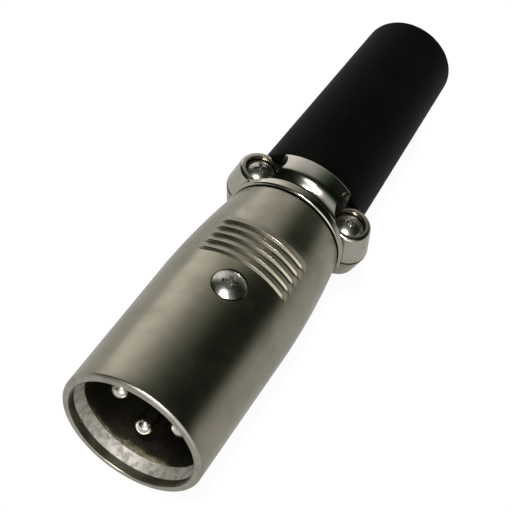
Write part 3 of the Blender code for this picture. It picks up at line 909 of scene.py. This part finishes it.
    def build(self, finish: bpy.types.Material, faced: bpy.types.Material,
              turned_skin: bpy.types.Material) -> bpy.types.Object:
        """Turn, cut and finish the shell.

        Args:
            finish: The shell's plate.
            faced: The faced surface of its rim.
            turned_skin: The turned surface of the cone in its mouth.

        Returns:
            The piece.
        """
        shell = turned("shell_casting", self.outline(), self.segments, ring=True)
        self.raise_grip(shell)
        lower = [column("lower_ear_" + side.name, self.ears.levels(side, upper=False)) for side in Side]
        shape(shell, Cut.JOIN, *lower)
        reach = self.radius + OVERCUT
        rear = self.clamp_rear + self.ears.split_radius
        shape(shell, Cut.TAKE_AWAY,
              block("upper_half", (-reach, reach), (-self.ears.split, reach), (self.rear, rear)),
              throat_cutter(self.throat_radius, self.chamber_rear, rear, self.segments),
              block("latch", (-self.latch_width / 2, self.latch_width / 2),
                    (self.bore_radius - OVERCUT, self.bore_radius + self.latch_cut),
                    (self.latch_front, self.latch_front + self.latch_length)),
              shaft("retainer_hole", 0, (self.bore_radius - OVERCUT, reach), self.retainer_depth,
                    self.retainer_hole),
              shaft("head_seat", 0, (self.head_seat_floor, reach), self.retainer_depth,
                    self.head_seat_radius, ROUND_SEGMENTS))
        for side in Side:
            shape(shell, Cut.TAKE_AWAY,
                  shaft("tapped_hole", side.value * self.ears.spread, (-self.ears.tapped_end, OVERCUT),
                        self.ears.depth, self.ears.screw_hole))
        settle(shell, finish, "shell", "shell")
        self.dress_mouth(shell, faced, turned_skin)
        return shell


@dataclass
class Saddle:
    """Upper half of the cable clamp: front lip, cove, rear flange, ears and the webs between.

    Attributes:
        ears: The clamp's ears.
        front: Depth at which it starts.
        rear: Depth at which it ends.
        lip_radius: Radius of the front lip.
        lip_width: Width of that lip.
        edge_round: Round of the outer edges.
        cove_radius: Least radius, in the hollow behind the lip.
        cove_fall: How far the hollow takes to reach it.
        cove_rise: How far it takes to rise to the flange.
        flange_radius: Radius of the rear flange.
        throat_radius: Radius of the cable way.
        chamber_radius: Radius of the wiring chamber, which ends in the saddle.
        chamber_rear: Its rear end.
        segments: Steps of a full turn.
        web_spread: How far the webs stand from the plug's axis.
        web_depth: Depth of their axes.
        web_radius: Radius of a web.
        web_top: Height of a web.
        web_round: Round of its top.
        ear_clearance: How far the cut over an ear passes the ear.
    """

    ears: ClampEars
    front: float = 37.3
    rear: float = 43.65
    lip_radius: float = 8.49
    lip_width: float = 0.9
    edge_round: float = 0.3
    cove_radius: float = 7.7
    cove_fall: float = 1.0
    cove_rise: float = 2.1
    flange_radius: float = 8.59
    throat_radius: float = 4.9
    chamber_radius: float = 7.0
    chamber_rear: float = 38.8
    segments: int = 192
    web_spread: float = 4.4
    web_depth: float = 41.9
    web_radius: float = 1.7
    web_top: float = 7.1
    web_round: float = 1.2
    ear_clearance: float = 0.05

    def outline(self) -> Outline:
        """Draw the section of the saddle's ring.

        Returns:
            The section's points as (radius, depth).
        """
        lip_end = self.front + self.lip_width
        cove_depth = lip_end + self.cove_fall
        steps = 2 * ARC_STEPS
        points = [(self.chamber_radius, self.front)]
        points += arc((self.lip_radius - self.edge_round, self.front + self.edge_round), self.edge_round,
                      -90, 0)
        for step in range(steps + 1):
            fall = 1 - step / steps
            points.append((self.cove_radius + (self.lip_radius - self.cove_radius) * fall ** 2,
                           cove_depth - self.cove_fall * fall))
        for step in range(1, steps + 1):
            way = step / steps
            # Level at both ends and steepest a third of the way along
            rise = way ** 2 * (6 - 8 * way + 3 * way ** 2)
            points.append((self.cove_radius + (self.flange_radius - self.cove_radius) * rise,
                           cove_depth + self.cove_rise * way))
        points += arc((self.flange_radius - self.edge_round, self.rear - self.edge_round), self.edge_round,
                      0, 90)
        points += [(self.throat_radius, self.rear), (self.throat_radius, self.chamber_rear),
                   (self.chamber_radius, self.chamber_rear)]
        return points

    def web(self, side: Side) -> bpy.types.Object:
        """Loft the rounded web that carries one ear on the flange.

        Args:
            side: Which ear.

        Returns:
            The web.
        """
        circles = [(0.0, side.value * self.web_spread, self.web_depth, self.web_radius)]
        for step in range(ARC_STEPS + 1):
            angle = math.pi / 2 * step / ARC_STEPS
            circles.append((self.web_top - self.web_round * (1 - math.sin(angle)),
                            side.value * self.web_spread, self.web_depth,
                            self.web_radius - self.web_round * (1 - math.cos(angle))))
        return column("web", circles)

    def build(self, finish: bpy.types.Material) -> bpy.types.Object:
        """Turn, join, cut and finish the saddle.

        Args:
            finish: The saddle's plate.

        Returns:
            The piece.
        """
        ears = self.ears
        saddle = turned("clamp_saddle_casting", self.outline(), self.segments // 2, ring=True,
                        sweep=(-90.0, 90.0))
        reach = self.flange_radius + OVERCUT
        end = self.rear + ears.split_radius
        for side in Side:
            shape(saddle, Cut.JOIN, column("upper_ear", ears.levels(side, upper=True)), self.web(side))
        shape(saddle, Cut.TAKE_AWAY,
              block("lower_half", (-reach, reach), (-reach, ears.split), (self.front - OVERCUT / 2, end)),
              throat_cutter(self.throat_radius, self.chamber_rear, end, self.segments))
        for side in Side:
            x = side.value * ears.spread
            shape(saddle, Cut.TAKE_AWAY,
                  shaft("ring_top", x, (ears.top + self.ear_clearance, self.web_top + OVERCUT), ears.depth,
                        ears.top_radius + self.ear_clearance, ROUND_SEGMENTS),
                  shaft("clearance_hole", x, (-OVERCUT, ears.top + OVERCUT), ears.depth, ears.screw_hole),
                  shaft("head_recess", x, (ears.recess_floor, ears.top + OVERCUT), ears.depth,
                        ears.recess_radius, ROUND_SEGMENTS))
        return settle(saddle, finish, "saddle", "clamp_saddle")


@dataclass
class DomedScrew:
    """Dome-headed screw with a cross recess, hanging down from its crest.

    Attributes:
        name: The piece's name.
        node: The CAD node that it stands for.
        x: Its axis's x.
        depth: Its axis's depth.
        crest: Height of the top of its dome.
        length: From there to its point.
        head_radius: Radius of the head.
        head_height: Height of the head.
        shank_radius: Radius of the shank.
        rim_share: Share of the head's height that is its straight rim.
        head_edge: How far the rim's lower edge is broken.
        point: How far the shank's end is broken.
        slot_width: Width of the recess's bars.
        slot_share: Their length as a share of the head's width.
        slot_depth: Their depth below the crest.
        slot_taper: Their size at the bottom as a share of that at the top.
        dome_steps: Rings of the dome.
        segments: Steps of the turn.
    """

    name: str
    node: str
    x: float
    depth: float
    crest: float
    length: float
    head_radius: float
    head_height: float
    shank_radius: float = 1.1
    rim_share: float = 0.35
    head_edge: float = 0.08
    point: float = 0.3
    slot_width: float = 0.55
    slot_share: float = 0.6
    slot_depth: float = 0.6
    slot_taper: float = 0.55
    dome_steps: int = 14
    segments: int = 96

    @classmethod
    def retainer(cls, shell: Shell) -> "DomedScrew":
        """Size the screw in the shell's top that draws on the insert's nut.

        Args:
            shell: The shell that seats it.

        Returns:
            The screw, not built yet.
        """
        head_height, point_height = 1.03, 3.395
        crest = shell.head_seat_floor + SEAT_GAP + head_height
        return cls("retaining_screw", "insert_screw", x=0.0, depth=shell.retainer_depth, crest=crest,
                   length=crest - point_height, head_radius=2.12, head_height=head_height,
                   slot_width=0.75, slot_share=0.68, slot_depth=0.75)

    @classmethod
    def clamp(cls, ears: ClampEars, side: Side) -> "DomedScrew":
        """Size the screw in one ear.

        Args:
            ears: The clamp's ears.
            side: Which ear.

        Returns:
            The screw, not built yet.
        """
        head_height, reach_below_axis = 1.15, 3.0
        crest = ears.recess_floor + SEAT_GAP + head_height
        name = "clamp_screw_" + side.name.lower()
        return cls(name + "_finished", name, x=side.value * ears.spread, depth=ears.depth, crest=crest,
                   length=crest + reach_below_axis, head_radius=2.0, head_height=head_height,
                   slot_width=0.65, slot_share=0.68, slot_depth=0.7)

    def outline(self) -> Outline:
        """Draw the section from the crest to the point.

        Returns:
            The section's points as (radius, height below the crest).
        """
        dome = self.head_height - self.rim_share * self.head_height
        ball = (self.head_radius ** 2 + dome ** 2) / (2 * dome)
        half = math.asin(self.head_radius / ball)
        steps = self.dome_steps
        points = [(ball * math.sin(half * i / steps), ball * (1 - math.cos(half * i / steps)))
                  for i in range(steps + 1)]
        broken = self.head_edge
        points += [(self.head_radius, self.head_height - broken),
                   (self.head_radius - broken, self.head_height),
                   (self.shank_radius, self.head_height), (self.shank_radius, self.length - self.point),
                   (self.shank_radius - self.point, self.length), (0, self.length)]
        return points

    def wing(self, turn: float) -> bpy.types.Object:
        """Make one tapered bar of the cross recess.

        Args:
            turn: The bar's turn about the screw in radians.

        Returns:
            The cutter.
        """
        arm = self.head_radius * self.slot_share
        deselect_everything()
        bpy.ops.mesh.primitive_cube_add(
            size=1, scale=(2 * arm * MM, self.slot_width * MM, 2 * self.slot_depth * MM))
        bar = open_primitive("wing")
        bpy.ops.mesh.select_mode(type=Pick.FACES.value)
        bpy.ops.mesh.select_all(action="DESELECT")
        bpy.ops.object.mode_set(mode="OBJECT")
        for face in bar.data.polygons:
            face.select = face.normal.z < FACES_DOWN
        bpy.ops.object.mode_set(mode="EDIT")
        bpy.ops.transform.resize(value=(self.slot_taper, self.slot_taper, 1),
                                 center_override=(0, 0, -self.slot_depth * MM))
        bpy.ops.object.mode_set(mode="OBJECT")
        bar.matrix_world = (Matrix.Translation(DATUM.at(self.x, self.crest, self.depth))
                            @ Matrix.Rotation(turn, 4, "Z"))
        apply_place()
        return bar

    def build(self, finish: bpy.types.Material, turn: float) -> bpy.types.Object:
        """Turn the screw and press its recess.

        Args:
            finish: The screw's plate.
            turn: Where the driver left the recess, in degrees.

        Returns:
            The piece.
        """
        screw = draw_line(self.name, [DATUM.at(self.x + radius, self.crest - below, self.depth)
                                      for radius, below in self.outline()])
        bpy.ops.mesh.spin(steps=self.segments, angle=math.tau, center=DATUM.at(self.x, 0, self.depth),
                          axis=(0, 0, 1))
        close_up()
        angle = math.radians(turn)
        shape(screw, Cut.TAKE_AWAY, self.wing(angle), self.wing(angle + math.pi / 2))
        return settle(screw, finish, "screws", self.node)


@dataclass
class Pin:
    """Turned contact with a round nose, a collar and a scooped solder cup.

    Attributes:
        number: Its number in the plug.
        x: Its axis's x.
        up: Its axis's height.
        radius: Radius of the contact.
        tip: Depth of the tip of its nose.
        collar_radius: Radius of the collar behind the insert.
        collar_front: Depth at which the collar starts.
        collar_length: Its length.
        cup_radius: Outside radius of the solder cup.
        cup_bore: Its inside radius.
        cup_length: Its length.
        cup_hollow: How deep it is hollow.
        cup_scoop: Length of the scoop that opens its top.
        ring_spacing: About how far apart the pin's rings of vertices are.
        segments: Steps of the turn.
    """

    number: int
    x: float
    up: float
    radius: float = 1.2
    tip: float = 3.5
    collar_radius: float = 1.75
    collar_front: float = 26.6
    collar_length: float = 0.8
    cup_radius: float = 1.3
    cup_bore: float = 0.85
    cup_length: float = 4.4
    cup_hollow: float = 3.2
    cup_scoop: float = 2.0
    ring_spacing: float = 2.0
    segments: int = 64

    def build(self, finish: bpy.types.Material) -> bpy.types.Object:
        """Turn the contact and scoop its cup.

        Args:
            finish: The contact's plate.

        Returns:
            The piece.
        """
        start = self.collar_front + self.collar_length
        end = start + self.cup_length
        points: Outline = [(0, self.tip)]
        points += arc((0, self.tip + self.radius), self.radius, -90, 0, NOSE_STEPS)[1:]
        for corner in ((self.radius, self.collar_front), (self.collar_radius, self.collar_front),
                       (self.collar_radius, start), (self.cup_radius, start), (self.cup_radius, end),
                       (self.cup_bore, end), (self.cup_bore, end - self.cup_hollow),
                       (0, end - self.cup_hollow)):
            points += run(points[-1], corner, self.ring_spacing)
        pin = turned("contact_pin_%d" % self.number, points, self.segments, centre=(self.x, self.up))
        side = self.cup_radius + OVERCUT
        shape(pin, Cut.TAKE_AWAY,
              block("scoop", (self.x - side, self.x + side), (self.up, self.up + side),
                    (end - self.cup_scoop, end + OVERCUT)))
        return settle(pin, finish, "contacts", "pin_%d" % self.number)


@dataclass
class Boot:
    """Rubber sleeve: collar in the shell, neck in the clamp and a long tapered tail.

    Attributes:
        ears: The clamp's ears, round which it is relieved.
        bore: Radius of the cable's hole.
        collar_radius: Radius of the collar in the wiring chamber.
        collar_front: Depth at which the collar starts.
        collar_rear: Depth at which it ends.
        neck_radius: Radius of the neck.
        front: Depth at which the tail starts.
        front_radius: Radius of the tail there.
        front_round: Round of its edge there, and of the collar's.
        end: Depth at which the tail ends.
        end_radius: Radius of the tail there.
        end_round: Round of its edge there.
        bore_round: Round of the hole's edge.
        shift: How far the whole sleeve lies to the left.
        lean: How far the tail leans to the left, in degrees.
        ring_spacing: About how far apart the outer rings of vertices are.
        bore_spacing: The same in the hole.
        segments: Steps of the turn.
    """

    ears: ClampEars
    bore: float = 3.4
    collar_radius: float = 6.4
    collar_front: float = 33.8
    collar_rear: float = 38.5
    neck_radius: float = 4.2
    front: float = 43.95
    front_radius: float = 7.87
    front_round: float = 0.3
    end: float = 79.6
    end_radius: float = 6.79
    end_round: float = 1.2
    bore_round: float = 0.3
    shift: float = 0.3
    lean: float = 0.75
    ring_spacing: float = 1.5
    bore_spacing: float = 2.5
    segments: int = 192

    def outline(self) -> Outline:
        """Draw the section of the sleeve.

        Returns:
            The section's points as (radius, depth).
        """
        points = arc((self.collar_radius - self.front_round, self.collar_front + self.front_round),
                     self.front_round, -90, 0, SMALL_ARC_STEPS)
        for corner in ((self.collar_radius, self.collar_rear), (self.neck_radius, self.collar_rear),
                       (self.neck_radius, self.front)):
            points += run(points[-1], corner, self.ring_spacing)
        points += arc((self.front_radius - self.front_round, self.front + self.front_round), self.front_round,
                      -90, 0, SMALL_ARC_STEPS)
        end_centre = (self.end_radius - self.end_round, self.end - self.end_round)
        points += run(points[-1], (self.end_radius, end_centre[1]), self.ring_spacing)
        points += arc(end_centre, self.end_round, 0, 90)[1:]
        points += arc((self.bore + self.bore_round, self.end - self.bore_round), self.bore_round, 90, 180,
                      SMALL_ARC_STEPS)
        points += run(points[-1], (self.bore, self.collar_front), self.bore_spacing)
        return points

    def build(self, finish: bpy.types.Material) -> bpy.types.Object:
        """Turn the sleeve, lean it and relieve it round the ears.

        Args:
            finish: The sleeve's rubber.

        Returns:
            The piece.
        """
        boot = turned("rubber_boot", self.outline(), self.segments, ring=True)
        take_up(boot)
        pivot = DATUM.at(0, 0, self.ears.depth)
        boot.matrix_world = (Matrix.Translation(DATUM.at(-self.shift, 0, self.ears.depth))
                             @ Matrix.Rotation(math.radians(self.lean), 4, "Z")
                             @ Matrix.Translation(-pivot))
        apply_place()
        for side in Side:
            up = self.ears.levels(side, upper=True, growth=SEAT_GAP, lengthen=SEAT_GAP)
            down = self.ears.levels(side, upper=False, growth=SEAT_GAP, lengthen=SEAT_GAP)
            shape(boot, Cut.TAKE_AWAY, column("relief", list(reversed(down)) + up[1:]))
        return settle(boot, finish, "boot", "flex_boot")


@dataclass(frozen=True)
class Camera:
    """The photograph's camera in the plug's own millimetres.

    Attributes:
        place: World place in millimetres.
        aim: World point that it looks at, in millimetres.
        roll: Turn about its own axis in degrees.
        focal: Focal length in pixels of a 512 pixel wide frame.
        shift: Sideways and upward shift as shares of the frame.
        sensor: Width of its sensor in millimetres.
        frame_width: Width of that frame in pixels.
        near: Nearest distance that it shows, in millimetres.
    """

    place: tuple[float, float, float] = (20.80, -114.05, 145.63)
    aim: tuple[float, float, float] = (2.19, -7.99, 9.48)
    roll: float = 23.97
    focal: float = 1344.8
    shift: tuple[float, float] = (-0.0407, 0.0267)
    sensor: float = 36.0
    frame_width: int = 512
    near: float = 10.0

    def build(self) -> None:
        """Add the camera and make it the scene's own."""
        lens = bpy.data.cameras.new("photo_camera")
        lens.sensor_width = self.sensor
        lens.lens = self.focal * self.sensor / self.frame_width
        lens.shift_x, lens.shift_y = self.shift
        lens.clip_start = self.near * MM
        camera = bpy.data.objects.new("photo_camera", lens)
        bpy.context.scene.collection.objects.link(camera)
        place, aim = Vector(self.place) * MM, Vector(self.aim) * MM
        turn = (aim - place).to_track_quat("-Z", "Y").to_matrix().to_4x4()
        camera.matrix_world = (Matrix.Translation(place) @ turn
                               @ Matrix.Rotation(math.radians(self.roll), 4, "Z"))
        bpy.context.scene.camera = camera


@dataclass(frozen=True)
class Patch:
    """Soft round patch in the sky.

    Attributes:
        towards: Direction of its middle.
        power: How narrow it is.
        strength: How strong it is in its middle.
    """

    towards: tuple[float, float, float]
    power: float
    strength: float


@dataclass(frozen=True)
class Lamp:
    """Square soft lamp that points at the plug.

    Attributes:
        name: The lamp's name.
        place: World place in metres.
        size: Length of its side in metres.
        power: Power in watts.
        glossy: Whether metal shows it.
    """

    name: str
    place: tuple[float, float, float]
    size: float
    power: float
    glossy: bool

    def build(self) -> None:
        """Add the lamp."""
        light = bpy.data.lights.new(self.name, "AREA")
        light.size = self.size
        light.energy = self.power
        lamp = bpy.data.objects.new(self.name, light)
        bpy.context.scene.collection.objects.link(lamp)
        lamp.location = self.place
        lamp.rotation_euler = (-Vector(self.place)).to_track_quat("-Z", "Y").to_euler()
        lamp.visible_glossy = self.glossy


@dataclass(frozen=True)
class Studio:
    """Pale table, sky and lamps round the plug.

    Attributes:
        table_reach: Length of the table's side in metres.
        table_drop: How far it lies below the plug in metres.
        fibre_scale: How many of the card's flecks go to a metre.
        seen_share: Share of plain white in the table as the camera sees it.
        mirrored_share: The same in its reflection on the metal.
        mirrored_white: How bright that white is in the reflection.
        low_sky: Light at the horizon.
        high_sky: Light overhead.
        horizon_band: Upward part of the direction at which one starts to turn into the other, and
            at which it has.
        shadow: Patch that darkens the sky on the left.
        window: Bright patch behind on the left.
        window_band: Rearward part of the direction at which the window starts, and at which it is full.
        glints: Bright patches that the shell, the clamp and the mouth mirror.
        dim_tint: Colour of the sky where it is dim.
        tint_band: Strengths between which that colour turns white.
        lamps: The lamps.
    """

    table_reach: float = 3.0
    table_drop: float = 0.00002
    fibre_scale: float = 900.0
    seen_share: float = 0.93
    mirrored_share: float = 0.8
    mirrored_white: float = 0.42
    low_sky: float = 0.60
    high_sky: float = 0.011
    horizon_band: tuple[float, float] = (-0.02, 0.38)
    shadow: Patch = Patch((-0.75, -0.64, 0.15), 2.5, 0.94)
    window: Patch = Patch((-0.8, 0.57, 0.15), 4.0, 1.48)
    window_band: tuple[float, float] = (0.12, 0.52)
    glints: tuple[Patch, ...] = (Patch((0.42, -0.85, 0.30), 5.0, 1.3), Patch((0.50, -0.86, 0.10), 14.0, 3.2),
                                 Patch((-0.33, 0.80, 0.50), 14.0, 0.82), Patch((0.2, 0.95, 0.2), 16.0, 0.20))
    dim_tint: str = "C6F2BA"
    tint_band: tuple[float, float] = (0.02, 0.35)
    lamps: tuple[Lamp, ...] = (Lamp("front_lamp", (0.12, -0.52, 0.80), 0.15, 5.0, True),
                               Lamp("mouth_lamp", (-0.08, -0.34, 0.90), 0.08, 7.0, True),
                               Lamp("side_lamp", (-0.7, 0.5, 0.6), 0.5, 8.5, False))

    def sky(self) -> None:
        """Make the world: white to the camera, and to the rest a dark ceiling with bright patches."""
        world = bpy.data.worlds.new("studio_sky")
        bpy.context.scene.world = world
        world.use_nodes = True
        tree = world.node_tree
        tree.nodes.clear()
        output = add_node(tree, "ShaderNodeOutputWorld")
        direction = add_node(tree, "ShaderNodeTexCoord").outputs["Generated"]

        def spread(patch: Patch) -> bpy.types.NodeSocket:
            """Lay a patch over the sky.

            Args:
                patch: The patch.

            Returns:
                Its strength in the direction that is looked in.
            """
            dot = add_node(tree, "ShaderNodeVectorMath", {"operation": "DOT_PRODUCT"},
                           {1: Vector(patch.towards).normalized()}, {0: direction}).outputs["Value"]
            ahead = add_node(tree, "ShaderNodeMath", {"operation": "MAXIMUM"}, {1: 0.0}, {0: dot}).outputs[0]
            fall = add_node(tree, "ShaderNodeMath", {"operation": "POWER"}, {1: patch.power},
                            {0: ahead}).outputs[0]
            return add_node(tree, "ShaderNodeMath", {"operation": "MULTIPLY"}, {1: patch.strength},
                            {0: fall}).outputs[0]

        parts = add_node(tree, "ShaderNodeSeparateXYZ", links={0: direction}).outputs
        behind = add_node(tree, "ShaderNodeMapRange", {"interpolation_type": "SMOOTHSTEP"},
                          {"From Min": self.window_band[0], "From Max": self.window_band[1]},
                          {"Value": parts["Y"]}).outputs["Result"]
        horizon = add_node(tree, "ShaderNodeMapRange", {"interpolation_type": "SMOOTHSTEP"},
                           {"From Min": self.horizon_band[0], "From Max": self.horizon_band[1],
                            "To Min": self.low_sky, "To Max": self.high_sky},
                           {"Value": parts["Z"]}).outputs["Result"]
        unshaded = add_node(tree, "ShaderNodeMath", {"operation": "SUBTRACT"}, {0: 1.0},
                            {1: spread(self.shadow)}).outputs[0]
        light = add_node(tree, "ShaderNodeMath", {"operation": "MULTIPLY"}, None,
                         {0: horizon, 1: unshaded}).outputs[0]
        window = add_node(tree, "ShaderNodeMath", {"operation": "MULTIPLY"}, None,
                          {0: spread(self.window), 1: behind}).outputs[0]
        for source in [window] + [spread(glint) for glint in self.glints]:
            light = add_node(tree, "ShaderNodeMath", {"operation": "MAXIMUM"}, None,
                             {0: light, 1: source}).outputs[0]
        seen = add_node(tree, "ShaderNodeLightPath").outputs["Is Camera Ray"]
        strength = add_node(tree, "ShaderNodeMix", {"data_type": "FLOAT"}, {3: 1.0},
                            {0: seen, 2: light}).outputs[0]
        lit = add_node(tree, "ShaderNodeMapRange", None,
                       {"From Min": self.tint_band[0], "From Max": self.tint_band[1]},
                       {"Value": strength}).outputs["Result"]
        tint = add_node(tree, "ShaderNodeMix", {"data_type": "RGBA"},
                        {6: linear(self.dim_tint), 7: linear("FFFFFF")}, {0: lit}).outputs[2]
        shade = add_node(tree, "ShaderNodeBackground", None, None, {"Color": tint, "Strength": strength})
        tree.links.new(shade.outputs[0], output.inputs["Surface"])

    def table(self) -> None:
        """Lay the white sheet that the plug lies on, which keeps a soft shadow."""
        deselect_everything()
        bpy.ops.mesh.primitive_plane_add(size=self.table_reach, location=(0, 0, -self.table_drop))
        table = bpy.context.object
        table.name = "paper_table"
        apply_place()
        material, tree, output = new_tree("white_card")
        place = add_node(tree, "ShaderNodeTexCoord").outputs["Object"]
        fibre = add_node(tree, "ShaderNodeTexNoise", values={"Scale": self.fibre_scale, "Detail": 3.0},
                         links={"Vector": place}).outputs["Fac"]
        tone = add_node(tree, "ShaderNodeMix", {"data_type": "RGBA"},
                        {6: linear("FBFBFA"), 7: linear("F6F6F5")}, {0: fibre}).outputs[2]
        card = add_node(tree, "ShaderNodeBsdfDiffuse", links={"Color": tone}).outputs[0]
        path = add_node(tree, "ShaderNodeLightPath").outputs
        white = add_node(tree, "ShaderNodeMapRange", None, {"To Min": 1.0, "To Max": self.mirrored_white},
                         {"Value": path["Is Glossy Ray"]}).outputs["Result"]
        glow = add_node(tree, "ShaderNodeEmission", None, {"Color": linear("FFFFFF")},
                        {"Strength": white}).outputs[0]
        direct = add_node(tree, "ShaderNodeMath", {"operation": "MAXIMUM"}, None,
                          {0: path["Is Camera Ray"], 1: path["Is Transmission Ray"]}).outputs[0]
        mirrored = add_node(tree, "ShaderNodeMath", {"operation": "MULTIPLY"}, {1: self.mirrored_share},
                            {0: path["Is Glossy Ray"]}).outputs[0]
        share = add_node(tree, "ShaderNodeMath", {"operation": "MULTIPLY_ADD"}, {1: self.seen_share},
                         {0: direct, 2: mirrored}).outputs[0]
        mixed = add_node(tree, "ShaderNodeMixShader", None, None, {0: share, 1: card, 2: glow}).outputs[0]
        tree.links.new(mixed, output.inputs["Surface"])
        dress(table, material)

    def build(self) -> None:
        """Set up the sky, the table and the lamps."""
        self.sky()
        self.table()
        for lamp in self.lamps:
            lamp.build()


@dataclass(frozen=True)
class Finishes:
    """The made materials, one for each kind of surface.

    Attributes:
        shell: The casting's plate.
        rim: The mouth's faced rim.
        lead_in: The cone in the mouth.
        saddle: The clamp's plate.
        screws: The screws' plate.
        contacts: The contacts' plate.
        brass: The nut.
        insulator: The insert.
        rubber: The boot.
    """

    shell: bpy.types.Material
    rim: bpy.types.Material
    lead_in: bpy.types.Material
    saddle: bpy.types.Material
    screws: bpy.types.Material
    contacts: bpy.types.Material
    brass: bpy.types.Material
    insulator: bpy.types.Material
    rubber: bpy.types.Material

    @classmethod
    def make(cls) -> "Finishes":
        """Make every material once."""
        return cls(SATIN_NICKEL.make(), FACED_NICKEL.make(), TURNED_NICKEL.make(), BRIGHT_NICKEL.make(),
                   SCREW_PLATE.make(), CONTACT_SILVER.make(), STAMPED_BRASS.make(), INSULATOR.make(),
                   BOOT_RUBBER.make())


def dress_cad_nodes(finishes: Finishes) -> None:
    """Give the CAD nodes that stay their materials.

    Args:
        finishes: The made materials.
    """
    for name, material, slot in (("insert", finishes.insulator, "insulator"),
                                 ("insert_nut", finishes.brass, "nut"),
                                 ("ground_tab", finishes.contacts, "contacts")):
        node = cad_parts[name]
        dress(node, material)


def report(piece: bpy.types.Object) -> None:
    """Log a built piece with its number of faces."""
    LOG.info("%s: %d faces", piece.name, len(piece.data.polygons))


def main() -> None:
    """Build the plug's pieces, the studio and the camera."""
    logging.basicConfig(level=logging.INFO)
    bpy.context.scene.view_settings.view_transform = "Standard"
    finishes = Finishes.make()
    ears = ClampEars()
    shell = Shell(ears)
    report(shell.build(finishes.shell, finishes.rim, finishes.lead_in))
    report(Saddle(ears).build(finishes.saddle))
    report(DomedScrew.retainer(shell).build(finishes.screws, RETAINER_TURN))
    for side, turn in CLAMP_TURNS.items():
        report(DomedScrew.clamp(ears, side).build(finishes.screws, turn))
    for number, place in enumerate(PIN_PLACES, 1):
        report(Pin(number, *place).build(finishes.contacts))
    report(Boot(ears).build(finishes.rubber))
    dress_cad_nodes(finishes)
    Studio().build()
    Camera().build()


if __name__ == "__main__":
    main()
